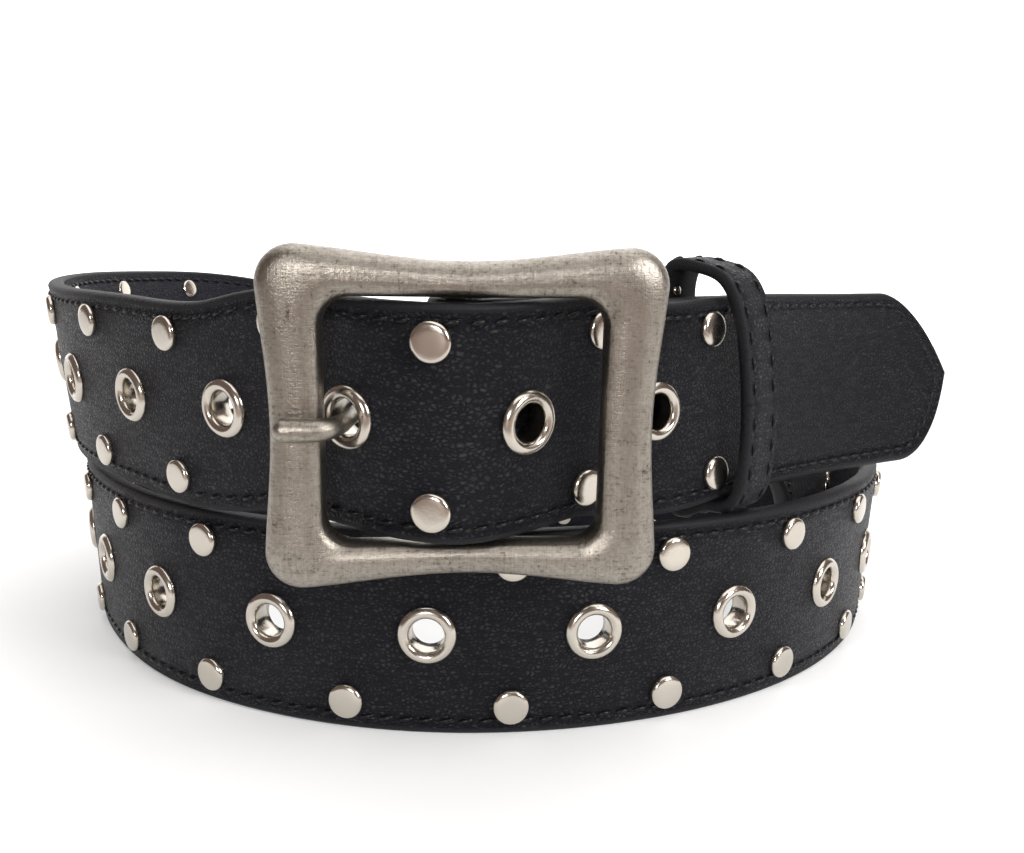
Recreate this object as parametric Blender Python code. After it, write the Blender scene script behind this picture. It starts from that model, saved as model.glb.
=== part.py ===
"""Studded leather belt, buckled, its closed loop wound in two turns that stand on edge.

The strap is one piece of leather. From its free end it runs behind the buckle's right bar,
over the centre bar and behind the left bar, then round the left side. At the back it sinks
outside the other turn, makes the lower turn, passes inside it along the back and the right
side, climbs behind the free end, and folds round the centre bar.

Metres, +Z up. The front of the belt faces -Y, and the origin is the bottom centre of its box.
"""

import math

import bmesh
import bpy
import numpy as np
from mathutils import Vector
from mathutils.geometry import tessellate_polygon

MM = 0.001
GAP = 0.3 * MM
LAYER_GAP = 0.6 * MM

# Strap
STRAP_WIDTH = 38.0 * MM
STRAP_THICKNESS = 3.6 * MM
FOLD_THICKNESS = 2.2 * MM
SKIVE_RUN = 16.0 * MM
FOLD_RUN = 78.0 * MM
LAYERED_RUN = 84.0 * MM
FREE_END = 80.2 * MM
TIP_ROUND = 16.5 * MM
TIP_TURN = 60.0
TIP_BLUNT = 1.4 * MM
PLAIN_INNER_RUN = 116.0 * MM

# Coil
COIL_WIDTH = 200.0 * MM
COIL_DEPTH = 200.0 * MM
TURN_CLEARANCE = 0.5 * MM
REST_BAND = 0.35 * MM

# Pattern of eyelets and studs
PITCH = 29.5 * MM
STUD_ROW_SPACING = 26.8 * MM
STUD_DIAMETER = 6.6 * MM
STUD_TOP_DIAMETER = 5.4 * MM
STUD_HEIGHT = 1.3 * MM
EYELET_DIAMETER = 10.9 * MM
EYELET_HOLE_DIAMETER = 6.2 * MM
EYELET_WALL = 0.5 * MM
EYELET_HEIGHT = 1.1 * MM
EYELETS_TOWARDS_TIP = 2
ROUND_SIDES = 10

# Buckle
WINDOW_WIDTH = 43.2 * MM
WINDOW_CLEARANCE = 0.55 * MM
WINDOW_CORNER = 4.5 * MM
SIDE_BAR = 8.3 * MM
CROSS_BAR = 5.4 * MM
SIDE_DIP = 1.7 * MM
CROSS_DIP = 2.6 * MM
OUTER_CORNER = 6.5 * MM
FRAME_THICKNESS = 6.0 * MM
CORNER_SWELL = 0.7 * MM
CENTRE_BAR_DIAMETER = 3.6 * MM
LUG_WIDTH = 7.0 * MM
LUG_FROM_WINDOW = 0.4 * MM
LUG_FROM_EDGE = 0.8 * MM
LUG_WALL = 0.6 * MM
STRAP_PROUD = 1.6 * MM
BUCKLE_YAW = 4.35
BUCKLE_LEAN = 5.5
BUCKLE_ACROSS = -0.055
BUCKLE_BACK = -0.0805
BUCKLE_LIFT = 2.4 * MM

# Prong
PRONG_DIAMETER = 3.7 * MM
PRONG_NECK_DIAMETER = 2.8 * MM
PRONG_RING_WIDTH = 4.4 * MM
PRONG_RING_CHAMFER = 0.4 * MM
PRONG_HOLE_ALONG = -0.806
PRONG_REACH = 6.4 * MM

# The prong's way from its ring to its tip, in the plane across the centre bar.
RING_LEAVE = (-0.95, 0.25)
BEHIND_FOLD = (-4.0 * MM, 1.7 * MM)
BEHIND_HOLE = 3.0 * MM
BEHIND_HOLE_SHIFT = (1.6 * MM, -0.5 * MM)
HOLE_TILT = (0.30, -0.25)
BEFORE_HOLE = 1.0 * MM
ONTO_BAR = (0.5 * MM, 1.0 * MM)
AT_BAR_EDGE = (0.2 * MM, 0.35 * MM)
ON_BAR = 2.2 * MM

# Keeper
KEEPER_WIDTH = 9.5 * MM
KEEPER_THICKNESS = 1.6 * MM
KEEPER_HEADROOM = 2.8 * MM
KEEPER_BULGE = 4.6 * MM
KEEPER_EASE = 1.2 * MM
KEEPER_AFTER_STUDS = 2.0 * MM
RIVET_DIAMETER = 2.0 * MM
RIVET_HEIGHT = 1.0 * MM

CURVE_STEP = 0.5 * MM

APEX_ALONG = -0.055

# Where the strap's section is set near the centre bar, as shares of the way from the bar's
# axis to the strap's middle. The layers behind have theirs at the same places.
BAR_STATIONS = (0.30, 1.06)

# The strap through the buckle. Along is a share of half the window, depth a share of how
# far the strap dips to pass behind the bars.
OVER_BUCKLE = (
    # along, depth
    (0.95, 1.21),
    (0.676, 0.80),
    (0.412, 0.383),
    (0.120, 0.065),
    (APEX_ALONG, 0.0),
    (-0.227, 0.065),
    (-0.532, 0.318),
    (-0.806, 0.72),
    (-1.074, 1.168),
    (-1.343, 1.60),
)

# In the next tables x and y are shares of the coil's width and depth, foot is the height of
# the strap's lower edge as a share of its width, and lean is outwards at the top, in degrees.
FREE_END_RUN = (
    # x, y, foot, lean
    (0.535, 0.325, 1.100, -15.0),
    (0.476, 0.307, 1.100, -15.0),
    (0.410, 0.277, 1.092, -13.0),
    (0.335, 0.228, 1.080, -9.5),
    (0.267, 0.171, 1.078, -6.5),
    (0.162, 0.069, 1.060, -1.5),
    (0.104, 0.022, 1.046, 1.0),
)
UPPER_LEFT = (
    # x, y, foot, lean
    (-0.266, 0.021, 1.040, 4.8),
    (-0.381, 0.114, 1.037, 4.8),
    (-0.481, 0.223, 1.056, 5.7),
    (-0.549, 0.353, 1.096, 7.4),
    (-0.569, 0.498, 1.133, 9.3),
    (-0.541, 0.642, 1.146, 11.0),
    (-0.473, 0.772, 1.120, 12.0),
)
BACK = (
    # x, y, foot of the sinking turn, its lean, lean of the turn inside it
    (-0.360, 0.8562, 0.970, 9.0, 3.0),
    (-0.200, 0.8688, 0.740, 5.0, 1.0),
    (0.000, 0.8118, 0.430, 2.0, 0.0),
    (0.190, 0.7263, 0.160, 2.0, 0.0),
    (0.345, 0.6281, 0.020, 3.0, 0.0),
    (0.430, 0.5609, 0.000, 4.5, 0.0),
)
LOWER_TURN = (
    # x, y, foot, lean
    (0.434, 0.429, 0.0, 4.5),
    (0.389, 0.289, 0.0, 3.5),
    (0.307, 0.167, 0.0, 2.5),
    (0.194, 0.073, 0.0, 2.0),
    (0.059, 0.016, 0.0, 1.7),
    (-0.088, 0.000, 0.0, 1.7),
    (-0.230, 0.032, 0.0, 1.8),
    (-0.356, 0.108, 0.0, 2.1),
    (-0.452, 0.219, 0.0, 2.7),
    (-0.520, 0.350, 0.0, 3.6),
    (-0.544, 0.490, 0.0, 4.0),
    (-0.520, 0.630, 0.0, 4.0),
)
INNER_LAYERS = -2.63
INNER_RISE = (
    # x, y, foot, lean
    (0.385, 0.440, 0.16, 0.0),
    (0.350, 0.335, 0.42, -1.0),
    (0.305, 0.262, 0.75, -3.0),
)

# Across the strap, round the keeper: out is a share of the loop's reach to its front or to
# its back, up a share of half the loop's height.
KEEPER_OUTLINE = (
    # out, up
    (1.00, 0.00),
    (0.96, 0.34),
    (0.76, 0.74),
    (0.34, 0.98),
    (-0.30, 1.08),
    (-0.84, 1.09),
    (-1.00, 0.93),
    (-1.00, 0.60),
    (-1.00, 0.20),
    (-1.00, -0.20),
    (-1.00, -0.60),
    (-1.00, -0.88),
    (-0.86, -0.99),
    (-0.50, -0.96),
    (-0.12, -0.906),
    (0.26, -0.900),
    (0.64, -0.79),
    (0.86, -0.56),
    (0.97, -0.28),
)

# Across the frame's bar: across runs from the window to the outer edge, front from -1 at the
# back to 1 at the front.
BAR_SECTION = (
    # across, front
    (0.00, -0.55),
    (0.10, -1.00),
    (0.90, -1.00),
    (1.00, -0.45),
    (1.00, 0.20),
    (0.90, 0.68),
    (0.64, 0.98),
    (0.30, 1.00),
    (0.07, 0.72),
    (0.00, 0.20),
)

# Layers outwards from the centre bar's axis, and what follows from them.
BAR_TO_FOLD = CENTRE_BAR_DIAMETER / 2 + LAYER_GAP + FOLD_THICKNESS / 2
FOLD_RADIUS = BAR_TO_FOLD + FOLD_THICKNESS / 2
BAR_TO_STRAP = FOLD_RADIUS + 2 * LAYER_GAP + STRAP_THICKNESS / 2
APEX_DEPTH = -(FRAME_THICKNESS / 2 + STRAP_PROUD - STRAP_THICKNESS / 2)
BAR_DEPTH = APEX_DEPTH + BAR_TO_STRAP
BAR_ALONG = APEX_ALONG * WINDOW_WIDTH / 2
DIP = FRAME_THICKNESS / 2 + GAP + STRAP_THICKNESS + MM - APEX_DEPTH
WINDOW_HEIGHT = STRAP_WIDTH + 2 * WINDOW_CLEARANCE
RING_INNER = CENTRE_BAR_DIAMETER / 2 + GAP
RING_OUTER = FOLD_RADIUS - GAP
LAYER = STRAP_THICKNESS + STUD_HEIGHT + TURN_CLEARANCE


def unit(vector):
    """The vector at length one."""
    vector = np.asarray(vector, float)
    return vector / np.linalg.norm(vector)


def smooth_curve(points, step=CURVE_STEP):
    """A natural cubic spline through the points, in every column, sampled at even steps."""
    points = np.asarray(points, float)
    chords = np.linalg.norm(np.diff(points[:, :3], axis=0), axis=1)
    knots = np.concatenate([[0.0], np.cumsum(chords)])
    count = len(points)
    matrix = np.zeros((count, count))
    right = np.zeros_like(points)
    matrix[0, 0] = matrix[-1, -1] = 1.0
    slopes = np.diff(points, axis=0) / chords[:, None]
    for row in range(1, count - 1):
        before, after = chords[row - 1], chords[row]
        matrix[row, row - 1:row + 2] = before, 2 * (before + after), after
        right[row] = 6 * (slopes[row] - slopes[row - 1])
    bend = np.linalg.solve(matrix, right)
    at = np.linspace(0.0, knots[-1], int(knots[-1] / step) + 1)
    span = np.clip(np.searchsorted(knots, at, side="right") - 1, 0, count - 2)
    width = chords[span][:, None]
    low = (knots[span + 1] - at)[:, None]
    high = (at - knots[span])[:, None]
    cubic = (bend[span] * low ** 3 + bend[span + 1] * high ** 3) / (6 * width)
    start = (points[span] / width - bend[span] * width / 6) * low
    end = (points[span + 1] / width - bend[span + 1] * width / 6) * high
    return cubic + start + end


class BuckleSpace:
    """The buckle's own space: along its width, inwards from its middle plane, and up."""

    def __init__(self):
        yaw, lean = math.radians(BUCKLE_YAW), math.radians(BUCKLE_LEAN)
        level_out = np.array([math.sin(yaw), -math.cos(yaw), 0.0])
        upright = np.array([0.0, 0.0, 1.0])
        self.along = np.array([math.cos(yaw), math.sin(yaw), 0.0])
        self.up = math.cos(lean) * upright + math.sin(lean) * level_out
        self.out = math.cos(lean) * level_out - math.sin(lean) * upright
        height = STRAP_WIDTH + BUCKLE_LIFT + STRAP_WIDTH / 2 * math.cos(lean)
        self.centre = np.array([BUCKLE_ACROSS * COIL_WIDTH, BUCKLE_BACK * COIL_DEPTH, height])

    def point(self, along, depth, up=0.0):
        """A point of this space in the belt's space."""
        return self.centre + along * self.along - depth * self.out + up * self.up

    def inside(self, place):
        """Along, depth and up of a place in the belt's space."""
        offset = np.asarray(place) - self.centre
        return offset @ self.along, -offset @ self.out, offset @ self.up


BUCKLE = BuckleSpace()


class Route:
    """A strap's middle line, with its lean and thickness, read by the distance along it."""

    def __init__(self, rows, ups=None):
        self.rows = np.asarray(rows, float)
        steps = np.linalg.norm(np.diff(self.rows[:, :3], axis=0), axis=1)
        self.runs = np.concatenate([[0.0], np.cumsum(steps)])
        self.length = self.runs[-1]
        self.ups = self.leaning() if ups is None else np.asarray(ups)

    def leaning(self):
        """The direction of the strap's width at each point, worked out from its lean."""
        along = np.gradient(self.rows[:, :3], axis=0)
        along /= np.linalg.norm(along, axis=1)[:, None]
        upright = np.array([0.0, 0.0, 1.0]) - along[:, 2:3] * along
        upright /= np.linalg.norm(upright, axis=1)[:, None]
        lean = np.radians(self.rows[:, 3])[:, None]
        return np.cos(lean) * upright + np.sin(lean) * np.cross(upright, along)

    def at(self, run, columns):
        """The columns' values at one distance along the line."""
        return np.array([np.interp(run, self.runs, column) for column in columns.T])

    def frame(self, run):
        """Middle, direction along, up the strap's width, and out of its front face."""
        reach = 0.6 * MM
        before = self.at(max(run - reach, 0.0), self.rows[:, :3])
        after = self.at(min(run + reach, self.length), self.rows[:, :3])
        along = unit(after - before)
        up = self.at(run, self.ups)
        up = unit(up - np.dot(up, along) * along)
        return self.at(run, self.rows[:, :3]), along, up, np.cross(up, along)

    def thickness(self, run):
        """The strap's thickness at one distance along the line."""
        return self.at(run, self.rows[:, 4:5])[0]

    def nearest(self, place, first=0.0, last=None):
        """Distance along the line, between two limits, of the point nearest to a place."""
        gaps = np.linalg.norm(self.rows[:, :3] - np.asarray(place), axis=1)
        last = self.length if last is None else last
        gaps[(self.runs < first) | (self.runs > last)] = 1.0
        return self.runs[int(np.argmin(gaps))]


def plan_rows(table):
    """Middle points of the strap, with lean and thickness, from a table of plan points."""
    rows = []
    for x, y, foot, lean in table:
        height = foot * STRAP_WIDTH + STRAP_WIDTH / 2 * math.cos(math.radians(lean))
        rows.append((x * COIL_WIDTH, y * COIL_DEPTH, height, lean, STRAP_THICKNESS))
    return rows


def over_buckle_rows():
    """Middle points of the strap from the keeper over the centre bar to the left bar."""
    rows = []
    for along, depth in OVER_BUCKLE:
        place = BUCKLE.point(along * WINDOW_WIDTH / 2, APEX_DEPTH + depth * DIP)
        rows.append((*place, BUCKLE_LEAN, STRAP_THICKNESS))
    return rows


def moved_out(rows, layers):
    """The rows moved outwards in plan by a number of layers of strap."""
    rows = np.array(rows)
    along = np.gradient(rows[:, :2], axis=0)
    along /= np.linalg.norm(along, axis=1)[:, None]
    rows[:, 0] -= along[:, 1] * layers * LAYER
    rows[:, 1] += along[:, 0] * layers * LAYER
    return [tuple(row) for row in rows]


def turns():
    """Middle points of the strap from beyond its tip to where it climbs behind the tip."""
    rows = plan_rows(FREE_END_RUN) + over_buckle_rows() + plan_rows(UPPER_LEFT)
    rows += plan_rows([(x, y, foot, lean) for x, y, foot, lean, _ in BACK])
    rows += plan_rows(LOWER_TURN)
    inner = plan_rows([(x, y, 0.0, lean) for x, y, _, _, lean in BACK])
    rows += moved_out(inner, INNER_LAYERS)
    return rows + plan_rows(INNER_RISE)


def skived(run):
    """Thickness of the buckle end at a distance from the centre bar."""
    share = min(max(run / SKIVE_RUN, 0.0), 1.0)
    return FOLD_THICKNESS + (STRAP_THICKNESS - FOLD_THICKNESS) * share


def behind(route, contact, run, layer_depth, thickness):
    """A point behind the free end's line, at a distance from the centre bar along it."""
    middle, _, _, out = route.frame(contact - run)
    lean = route.at(contact - run, route.rows[:, 3:4])[0]
    return (*(middle - layer_depth * out), lean, thickness)


def whole_route():
    """The strap's line from beyond its tip to the end of its fold."""
    rows = turns()
    outer = Route(smooth_curve(rows))
    axis = BUCKLE.point(BAR_ALONG, BAR_DEPTH)
    contact = outer.nearest(axis, last=outer.length / 4)
    front = []
    for run in np.linspace(LAYERED_RUN, 0.0, 15):
        thickness = skived(run)
        depth = STRAP_THICKNESS / 2 + LAYER_GAP + thickness / 2
        depth = max(depth, BAR_TO_STRAP - BAR_TO_FOLD)
        front.append(behind(outer, contact, run, depth, thickness))
    line = smooth_curve(rows + front)
    line[:, 4] = np.minimum(line[:, 4], STRAP_THICKNESS)
    main = Route(line)
    contact = main.nearest(axis, last=main.length / 4)
    _, along, up, out = main.frame(contact)

    radius = np.linalg.norm(main.rows[-1, :3] - axis)
    turn = []
    for angle in np.linspace(0.0, math.pi, 22)[1:]:
        place = axis + radius * (math.cos(angle) * out + math.sin(angle) * along)
        turn.append((*place, BUCKLE_LEAN, FOLD_THICKNESS))
    rear = turn[-2:]
    for run in np.linspace(1.25 * SKIVE_RUN, FOLD_RUN, 9):
        depth = 1.5 * STRAP_THICKNESS + 2 * LAYER_GAP + FOLD_THICKNESS / 2
        rear.append(behind(main, contact, run, depth, FOLD_THICKNESS))
    rear = smooth_curve(rear)
    rear = rear[np.linalg.norm(rear[:, :3] - turn[-2][:3], axis=1) > radius * math.pi / 21]
    rows = np.vstack([main.rows, turn, rear])
    beside = [main.nearest(row[:3], contact - FOLD_RUN - MM, contact) for row in rear]
    ups = [*main.ups, *[up] * len(turn), *[main.frame(run)[2] for run in beside]]
    return Route(rows, ups), contact, main.length


ROUTE, CONTACT_RUN, FOLD_START = whole_route()
PRONG_RUN = ROUTE.nearest(
    BUCKLE.point(PRONG_HOLE_ALONG * WINDOW_WIDTH / 2, BAR_DEPTH), last=ROUTE.length / 4
)
LAST_STUD_RUN = PRONG_RUN - (EYELETS_TOWARDS_TIP + 0.5) * PITCH
TIP_RUN = LAST_STUD_RUN - FREE_END
KEEPER_RUN = LAST_STUD_RUN - KEEPER_AFTER_STUDS - KEEPER_WIDTH / 2


def pattern():
    """Distances along the route of the eyelets and of the pairs of studs."""
    last = FOLD_START - PLAIN_INNER_RUN
    first = PRONG_RUN - EYELETS_TOWARDS_TIP * PITCH
    eyelets = list(np.arange(first, last, PITCH))
    studs = list(np.arange(first - PITCH / 2, last, PITCH))
    return eyelets, studs


def clear_of_pattern(run, half_stud):
    """Whether a section there would miss every stud and eyelet."""
    eyelets, studs = pattern()
    half_eyelet = EYELET_HOLE_DIAMETER / 2 + EYELET_WALL + 2 * GAP
    from_studs = min(abs(run - place) for place in studs)
    from_eyelets = min(abs(run - place) for place in eyelets)
    return from_studs > half_stud and from_eyelets > half_eyelet


def half_width(run):
    """Half the strap's width, which narrows at the tip in two arcs that meet in a point."""
    turn = math.radians(TIP_TURN)
    share = 1 - min(max(run - TIP_RUN, 0.0) / TIP_ROUND, 1.0)
    fall = (1 - math.sqrt(1 - (share * math.sin(turn)) ** 2)) / (1 - math.cos(turn))
    return max(STRAP_WIDTH / 2 * (1 - fall), TIP_BLUNT)


def stations():
    """Distances along the route where the strap's section is set."""
    tip = [TIP_RUN + share * TIP_ROUND for share in (0.0, 0.10, 0.22, 0.38, 0.58, 0.80, 1.0)]
    first = PRONG_RUN - (EYELETS_TOWARDS_TIP + 0.75) * PITCH
    plain = list(np.arange(first - 2 * PITCH, first, PITCH / 2))
    plain = [run for run in plain if run > TIP_RUN + TIP_ROUND]
    even = list(np.arange(first, FOLD_START - LAYERED_RUN, PITCH / 2))
    half_stud = STUD_DIAMETER / 2 + GAP
    over_bar = [CONTACT_RUN - share * BAR_TO_STRAP for share in BAR_STATIONS]
    over_bar = [run for run in over_bar if clear_of_pattern(run, half_stud)]
    fold_end = FOLD_START + math.pi * BAR_TO_FOLD
    fold = list(np.linspace(FOLD_START, fold_end, 9))
    layered = []
    for run in plain + even + over_bar:
        away = CONTACT_RUN - run
        middle = ROUTE.frame(run)[0]
        if MM < away < LAYERED_RUN - MM:
            layered.append(ROUTE.nearest(middle, FOLD_START - LAYERED_RUN, FOLD_START))
        if MM < away < FOLD_RUN - PITCH / 3:
            layered.append(ROUTE.nearest(middle, fold_end + MM))
    runs = sorted(tip + plain + even + over_bar + layered + fold)
    apart = [run for run, after in zip(runs, runs[1:]) if after - run > GAP]
    return apart + [runs[-1], ROUTE.length]


def section(run):
    """The strap's four-cornered section at one distance along the route."""
    middle, _, up, out = ROUTE.frame(run)
    half = half_width(run)
    flat = ROUTE.thickness(run) / 2
    corners = [(half, flat), (half, -flat), (-half, -flat), (-half, flat)]
    places = [middle + high * up + deep * out for high, deep in corners]
    for place in places:
        if place[2] < REST_BAND:
            place[2] = 0.0
    return places


class Solid:
    """Corners and faces of one closed body, gathered before it becomes a mesh."""

    def __init__(self):
        self.corners = []
        self.faces = []

    def add(self, place):
        """Keep a corner and give its number."""
        self.corners.append(tuple(float(value) for value in place))
        return len(self.corners) - 1

    def band(self, lower, upper):
        """Join two rings of the same count with a band of faces."""
        count = len(lower)
        for index in range(count):
            after = (index + 1) % count
            self.faces.append((lower[index], lower[after], upper[after], upper[index]))

    def plate(self, outline, rings, normal):
        """Fill an outline, less its round holes, with triangles that face one way."""
        numbers = list(outline) + [number for ring in rings for number in ring]
        loops = [[Vector(self.corners[number]) for number in loop] for loop in (outline, *rings)]
        for triple in tessellate_polygon(loops):
            face = [numbers[index] for index in triple]
            first, second, third = (np.array(self.corners[number]) for number in face)
            turned = np.dot(np.cross(second - first, third - first), normal) < 0
            self.faces.append(tuple(reversed(face)) if turned else tuple(face))


def ring_on(solid, centre, along, up, radius, sides=ROUND_SIDES):
    """A ring of corners round a centre."""
    turn = 2 * math.pi / sides
    ring = []
    for index in range(sides):
        angle = (index + 0.5) * turn
        place = centre + radius * (math.cos(angle) * along + math.sin(angle) * up)
        ring.append(solid.add(place))
    return ring


def facet_space(solid, quad):
    """Centre, along, up and out of a facet of the strap given by its four corners."""
    top, bottom, far_bottom, far_top = (np.array(solid.corners[number]) for number in quad)
    centre = (top + bottom + far_bottom + far_top) / 4
    along = unit(far_top + far_bottom - top - bottom)
    up = top + far_top - bottom - far_bottom
    up = unit(up - np.dot(up, along) * along)
    return centre, along, up, np.cross(up, along)


def placed(solid, quad, run):
    """A facet's space, moved along to where the pattern has its place."""
    centre, along, up, out = facet_space(solid, quad)
    middle = ROUTE.frame(run)[0]
    return centre + np.dot(middle - centre, along) * along, along, up, out


def strap_solid():
    """The strap, with a hole for each eyelet and two studs at each pair."""
    eyelets, studs = pattern()
    solid = Solid()
    runs = stations()
    sections = [[solid.add(place) for place in section(run)] for run in runs]
    hole_radius = EYELET_HOLE_DIAMETER / 2 + EYELET_WALL + GAP
    seats = []
    for start, end, near, far in zip(runs, runs[1:], sections, sections[1:]):
        solid.faces.append((near[0], near[1], far[1], far[0]))
        solid.faces.append((near[2], near[3], far[3], far[2]))
        front = (near[0], near[3], far[3], far[0])
        back = (near[1], near[2], far[2], far[1])
        front_rings, back_rings = [], []
        _, _, _, out = facet_space(solid, front)
        for run in (run for run in eyelets if start < run < end):
            centre, along, up, out = placed(solid, front, run)
            behind_centre = placed(solid, back, run)[0]
            front_ring = ring_on(solid, centre, along, up, hole_radius)
            back_ring = ring_on(solid, behind_centre, along, up, hole_radius)
            solid.band(back_ring, front_ring)
            front_rings.append(front_ring)
            back_rings.append(back_ring)
            seats.append(((centre + behind_centre) / 2, along, up, out))
        for run in (run for run in studs if start < run < end):
            centre, along, up, out = placed(solid, front, run)
            for side in (1, -1):
                foot = centre + side * STUD_ROW_SPACING / 2 * up
                rings = [ring_on(solid, foot + height * out, along, up, radius)
                         for radius, height in stud_profile()]
                for lower, upper in zip(rings, rings[1:]):
                    solid.band(lower, upper)
                solid.faces.append(tuple(rings[-1]))
                front_rings.append(rings[0])
        solid.plate(front, front_rings, out)
        solid.plate(back, back_rings, -out)
    solid.faces.append(tuple(sections[0]))
    solid.faces.append(tuple(reversed(sections[-1])))
    return solid, seats


def stud_profile():
    """Radius and height of a stud's foot and of its flat top."""
    return (STUD_DIAMETER / 2, 0.0), (STUD_TOP_DIAMETER / 2, STUD_HEIGHT)


def eyelet_profile():
    """Radius and height of the eyelet's ring and barrel, from the middle of the leather."""
    hole = EYELET_HOLE_DIAMETER / 2
    barrel = hole + EYELET_WALL
    rim = EYELET_DIAMETER / 2
    face = STRAP_THICKNESS / 2
    return (
        (hole, GAP - face),
        (barrel, GAP - face),
        (barrel, face + GAP),
        (rim, face + GAP),
        ((hole + rim) / 2, face + EYELET_HEIGHT),
        (hole, face + 0.5 * EYELET_HEIGHT),
    )


def turned(profile, centre, along, up, out, sides=ROUND_SIDES):
    """A ring-shaped solid: a closed profile turned round an axis."""
    solid = Solid()
    rings = [ring_on(solid, centre + height * out, along, up, radius, sides)
             for radius, height in profile]
    for lower, upper in zip(rings, rings[1:] + rings[:1]):
        solid.band(lower, upper)
    return solid


def swept(centres, radii, sides, side_axis):
    """A tube along a line of points, with rounded ends left to its radii."""
    solid = Solid()
    centres = np.asarray(centres)
    along = np.gradient(centres, axis=0)
    rings = []
    for centre, direction, radius in zip(centres, along, radii):
        direction = unit(direction)
        side = unit(side_axis - np.dot(side_axis, direction) * direction)
        rings.append(ring_on(solid, centre, side, np.cross(direction, side), radius, sides))
    for lower, upper in zip(rings, rings[1:]):
        solid.band(lower, upper)
    solid.faces.append(tuple(reversed(rings[0])))
    solid.faces.append(tuple(rings[-1]))
    return solid


def frame_outline(half_width_, half_height, corner, side_dip, cross_dip):
    """A rounded rectangle with hollow sides, as along and up in the buckle's space."""
    corner_steps, side_shares = 6, (0.25, 0.5, 0.75)
    points = []
    centres = [(1, 1), (-1, 1), (-1, -1), (1, -1)]
    for quarter, (right, top) in enumerate(centres):
        middle = np.array([right * (half_width_ - corner), top * (half_height - corner)])
        arc = [quarter * math.pi / 2 + share * math.pi / 2
               for share in np.linspace(0.0, 1.0, corner_steps)]
        points += [middle + corner * np.array([math.cos(a), math.sin(a)]) for a in arc]
        after_right, after_top = centres[(quarter + 1) % 4]
        after = np.array([after_right * (half_width_ - corner), after_top * (half_height - corner)])
        turn = arc[-1]
        after = after + corner * np.array([math.cos(turn), math.sin(turn)])
        points += [points[-1] + share * (after - points[-1]) for share in side_shares]
    hollow = []
    for x, y in points:
        across = 1 - side_dip / half_width_ * math.cos(math.pi / 2 * y / half_height) ** 2
        high = 1 - cross_dip / half_height * math.cos(math.pi / 2 * x / half_width_) ** 2
        hollow.append((x * across, y * high))
    return hollow


def frame_solid():
    """The cast frame without its centre bar."""
    half_window = WINDOW_WIDTH / 2
    half_opening = WINDOW_HEIGHT / 2
    inner = frame_outline(half_window, half_opening, WINDOW_CORNER, 0.0, 0.0)
    half_frame = half_window + SIDE_BAR + SIDE_DIP
    half_high = half_opening + CROSS_BAR + CROSS_DIP
    outer = frame_outline(half_frame, half_high, OUTER_CORNER, SIDE_DIP, CROSS_DIP)
    solid = Solid()
    rings = []
    for (inner_x, inner_y), (outer_x, outer_y) in zip(inner, outer):
        corner_share = (abs(outer_x) / half_frame * abs(outer_y) / half_high) ** 2
        ring = []
        for across, front in BAR_SECTION:
            along = inner_x + (outer_x - inner_x) * across
            up = inner_y + (outer_y - inner_y) * across
            depth = -front * FRAME_THICKNESS / 2
            if front > 0:
                depth -= CORNER_SWELL * corner_share * front
            ring.append(solid.add(BUCKLE.point(along, depth, up)))
        rings.append(ring)
    for lower, upper in zip(rings, rings[1:] + rings[:1]):
        solid.band(lower, upper)
    return solid


def centre_bar_solid():
    """The centre bar's round rod, from inside one lug to inside the other."""
    reach = WINDOW_HEIGHT / 2 + CROSS_BAR / 2
    ends = [BUCKLE.point(BAR_ALONG, BAR_DEPTH, height) for height in (-reach, reach)]
    radius = CENTRE_BAR_DIAMETER / 2
    return swept(ends, [radius, radius], 12, BUCKLE.along)


def block(along, depth, up):
    """A block between limits given in the buckle's space."""
    solid = Solid()
    floor, roof = [[solid.add(BUCKLE.point(x, y, height))
                    for x, y in ((along[0], depth[0]), (along[1], depth[0]),
                                 (along[1], depth[1]), (along[0], depth[1]))] for height in up]
    solid.band(floor, roof)
    solid.faces.append(tuple(reversed(floor)))
    solid.faces.append(tuple(roof))
    return solid


def lug_solids():
    """The two lugs at the back of the frame that hold the centre bar."""
    low = WINDOW_HEIGHT / 2 + LUG_FROM_WINDOW
    high = WINDOW_HEIGHT / 2 + CROSS_BAR - LUG_FROM_EDGE
    depth = (0.0, BAR_DEPTH + CENTRE_BAR_DIAMETER / 2 + LUG_WALL)
    along = (BAR_ALONG - LUG_WIDTH / 2, BAR_ALONG + LUG_WIDTH / 2)
    return block(along, depth, (low, high)), block(along, depth, (-high, -low))


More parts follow.
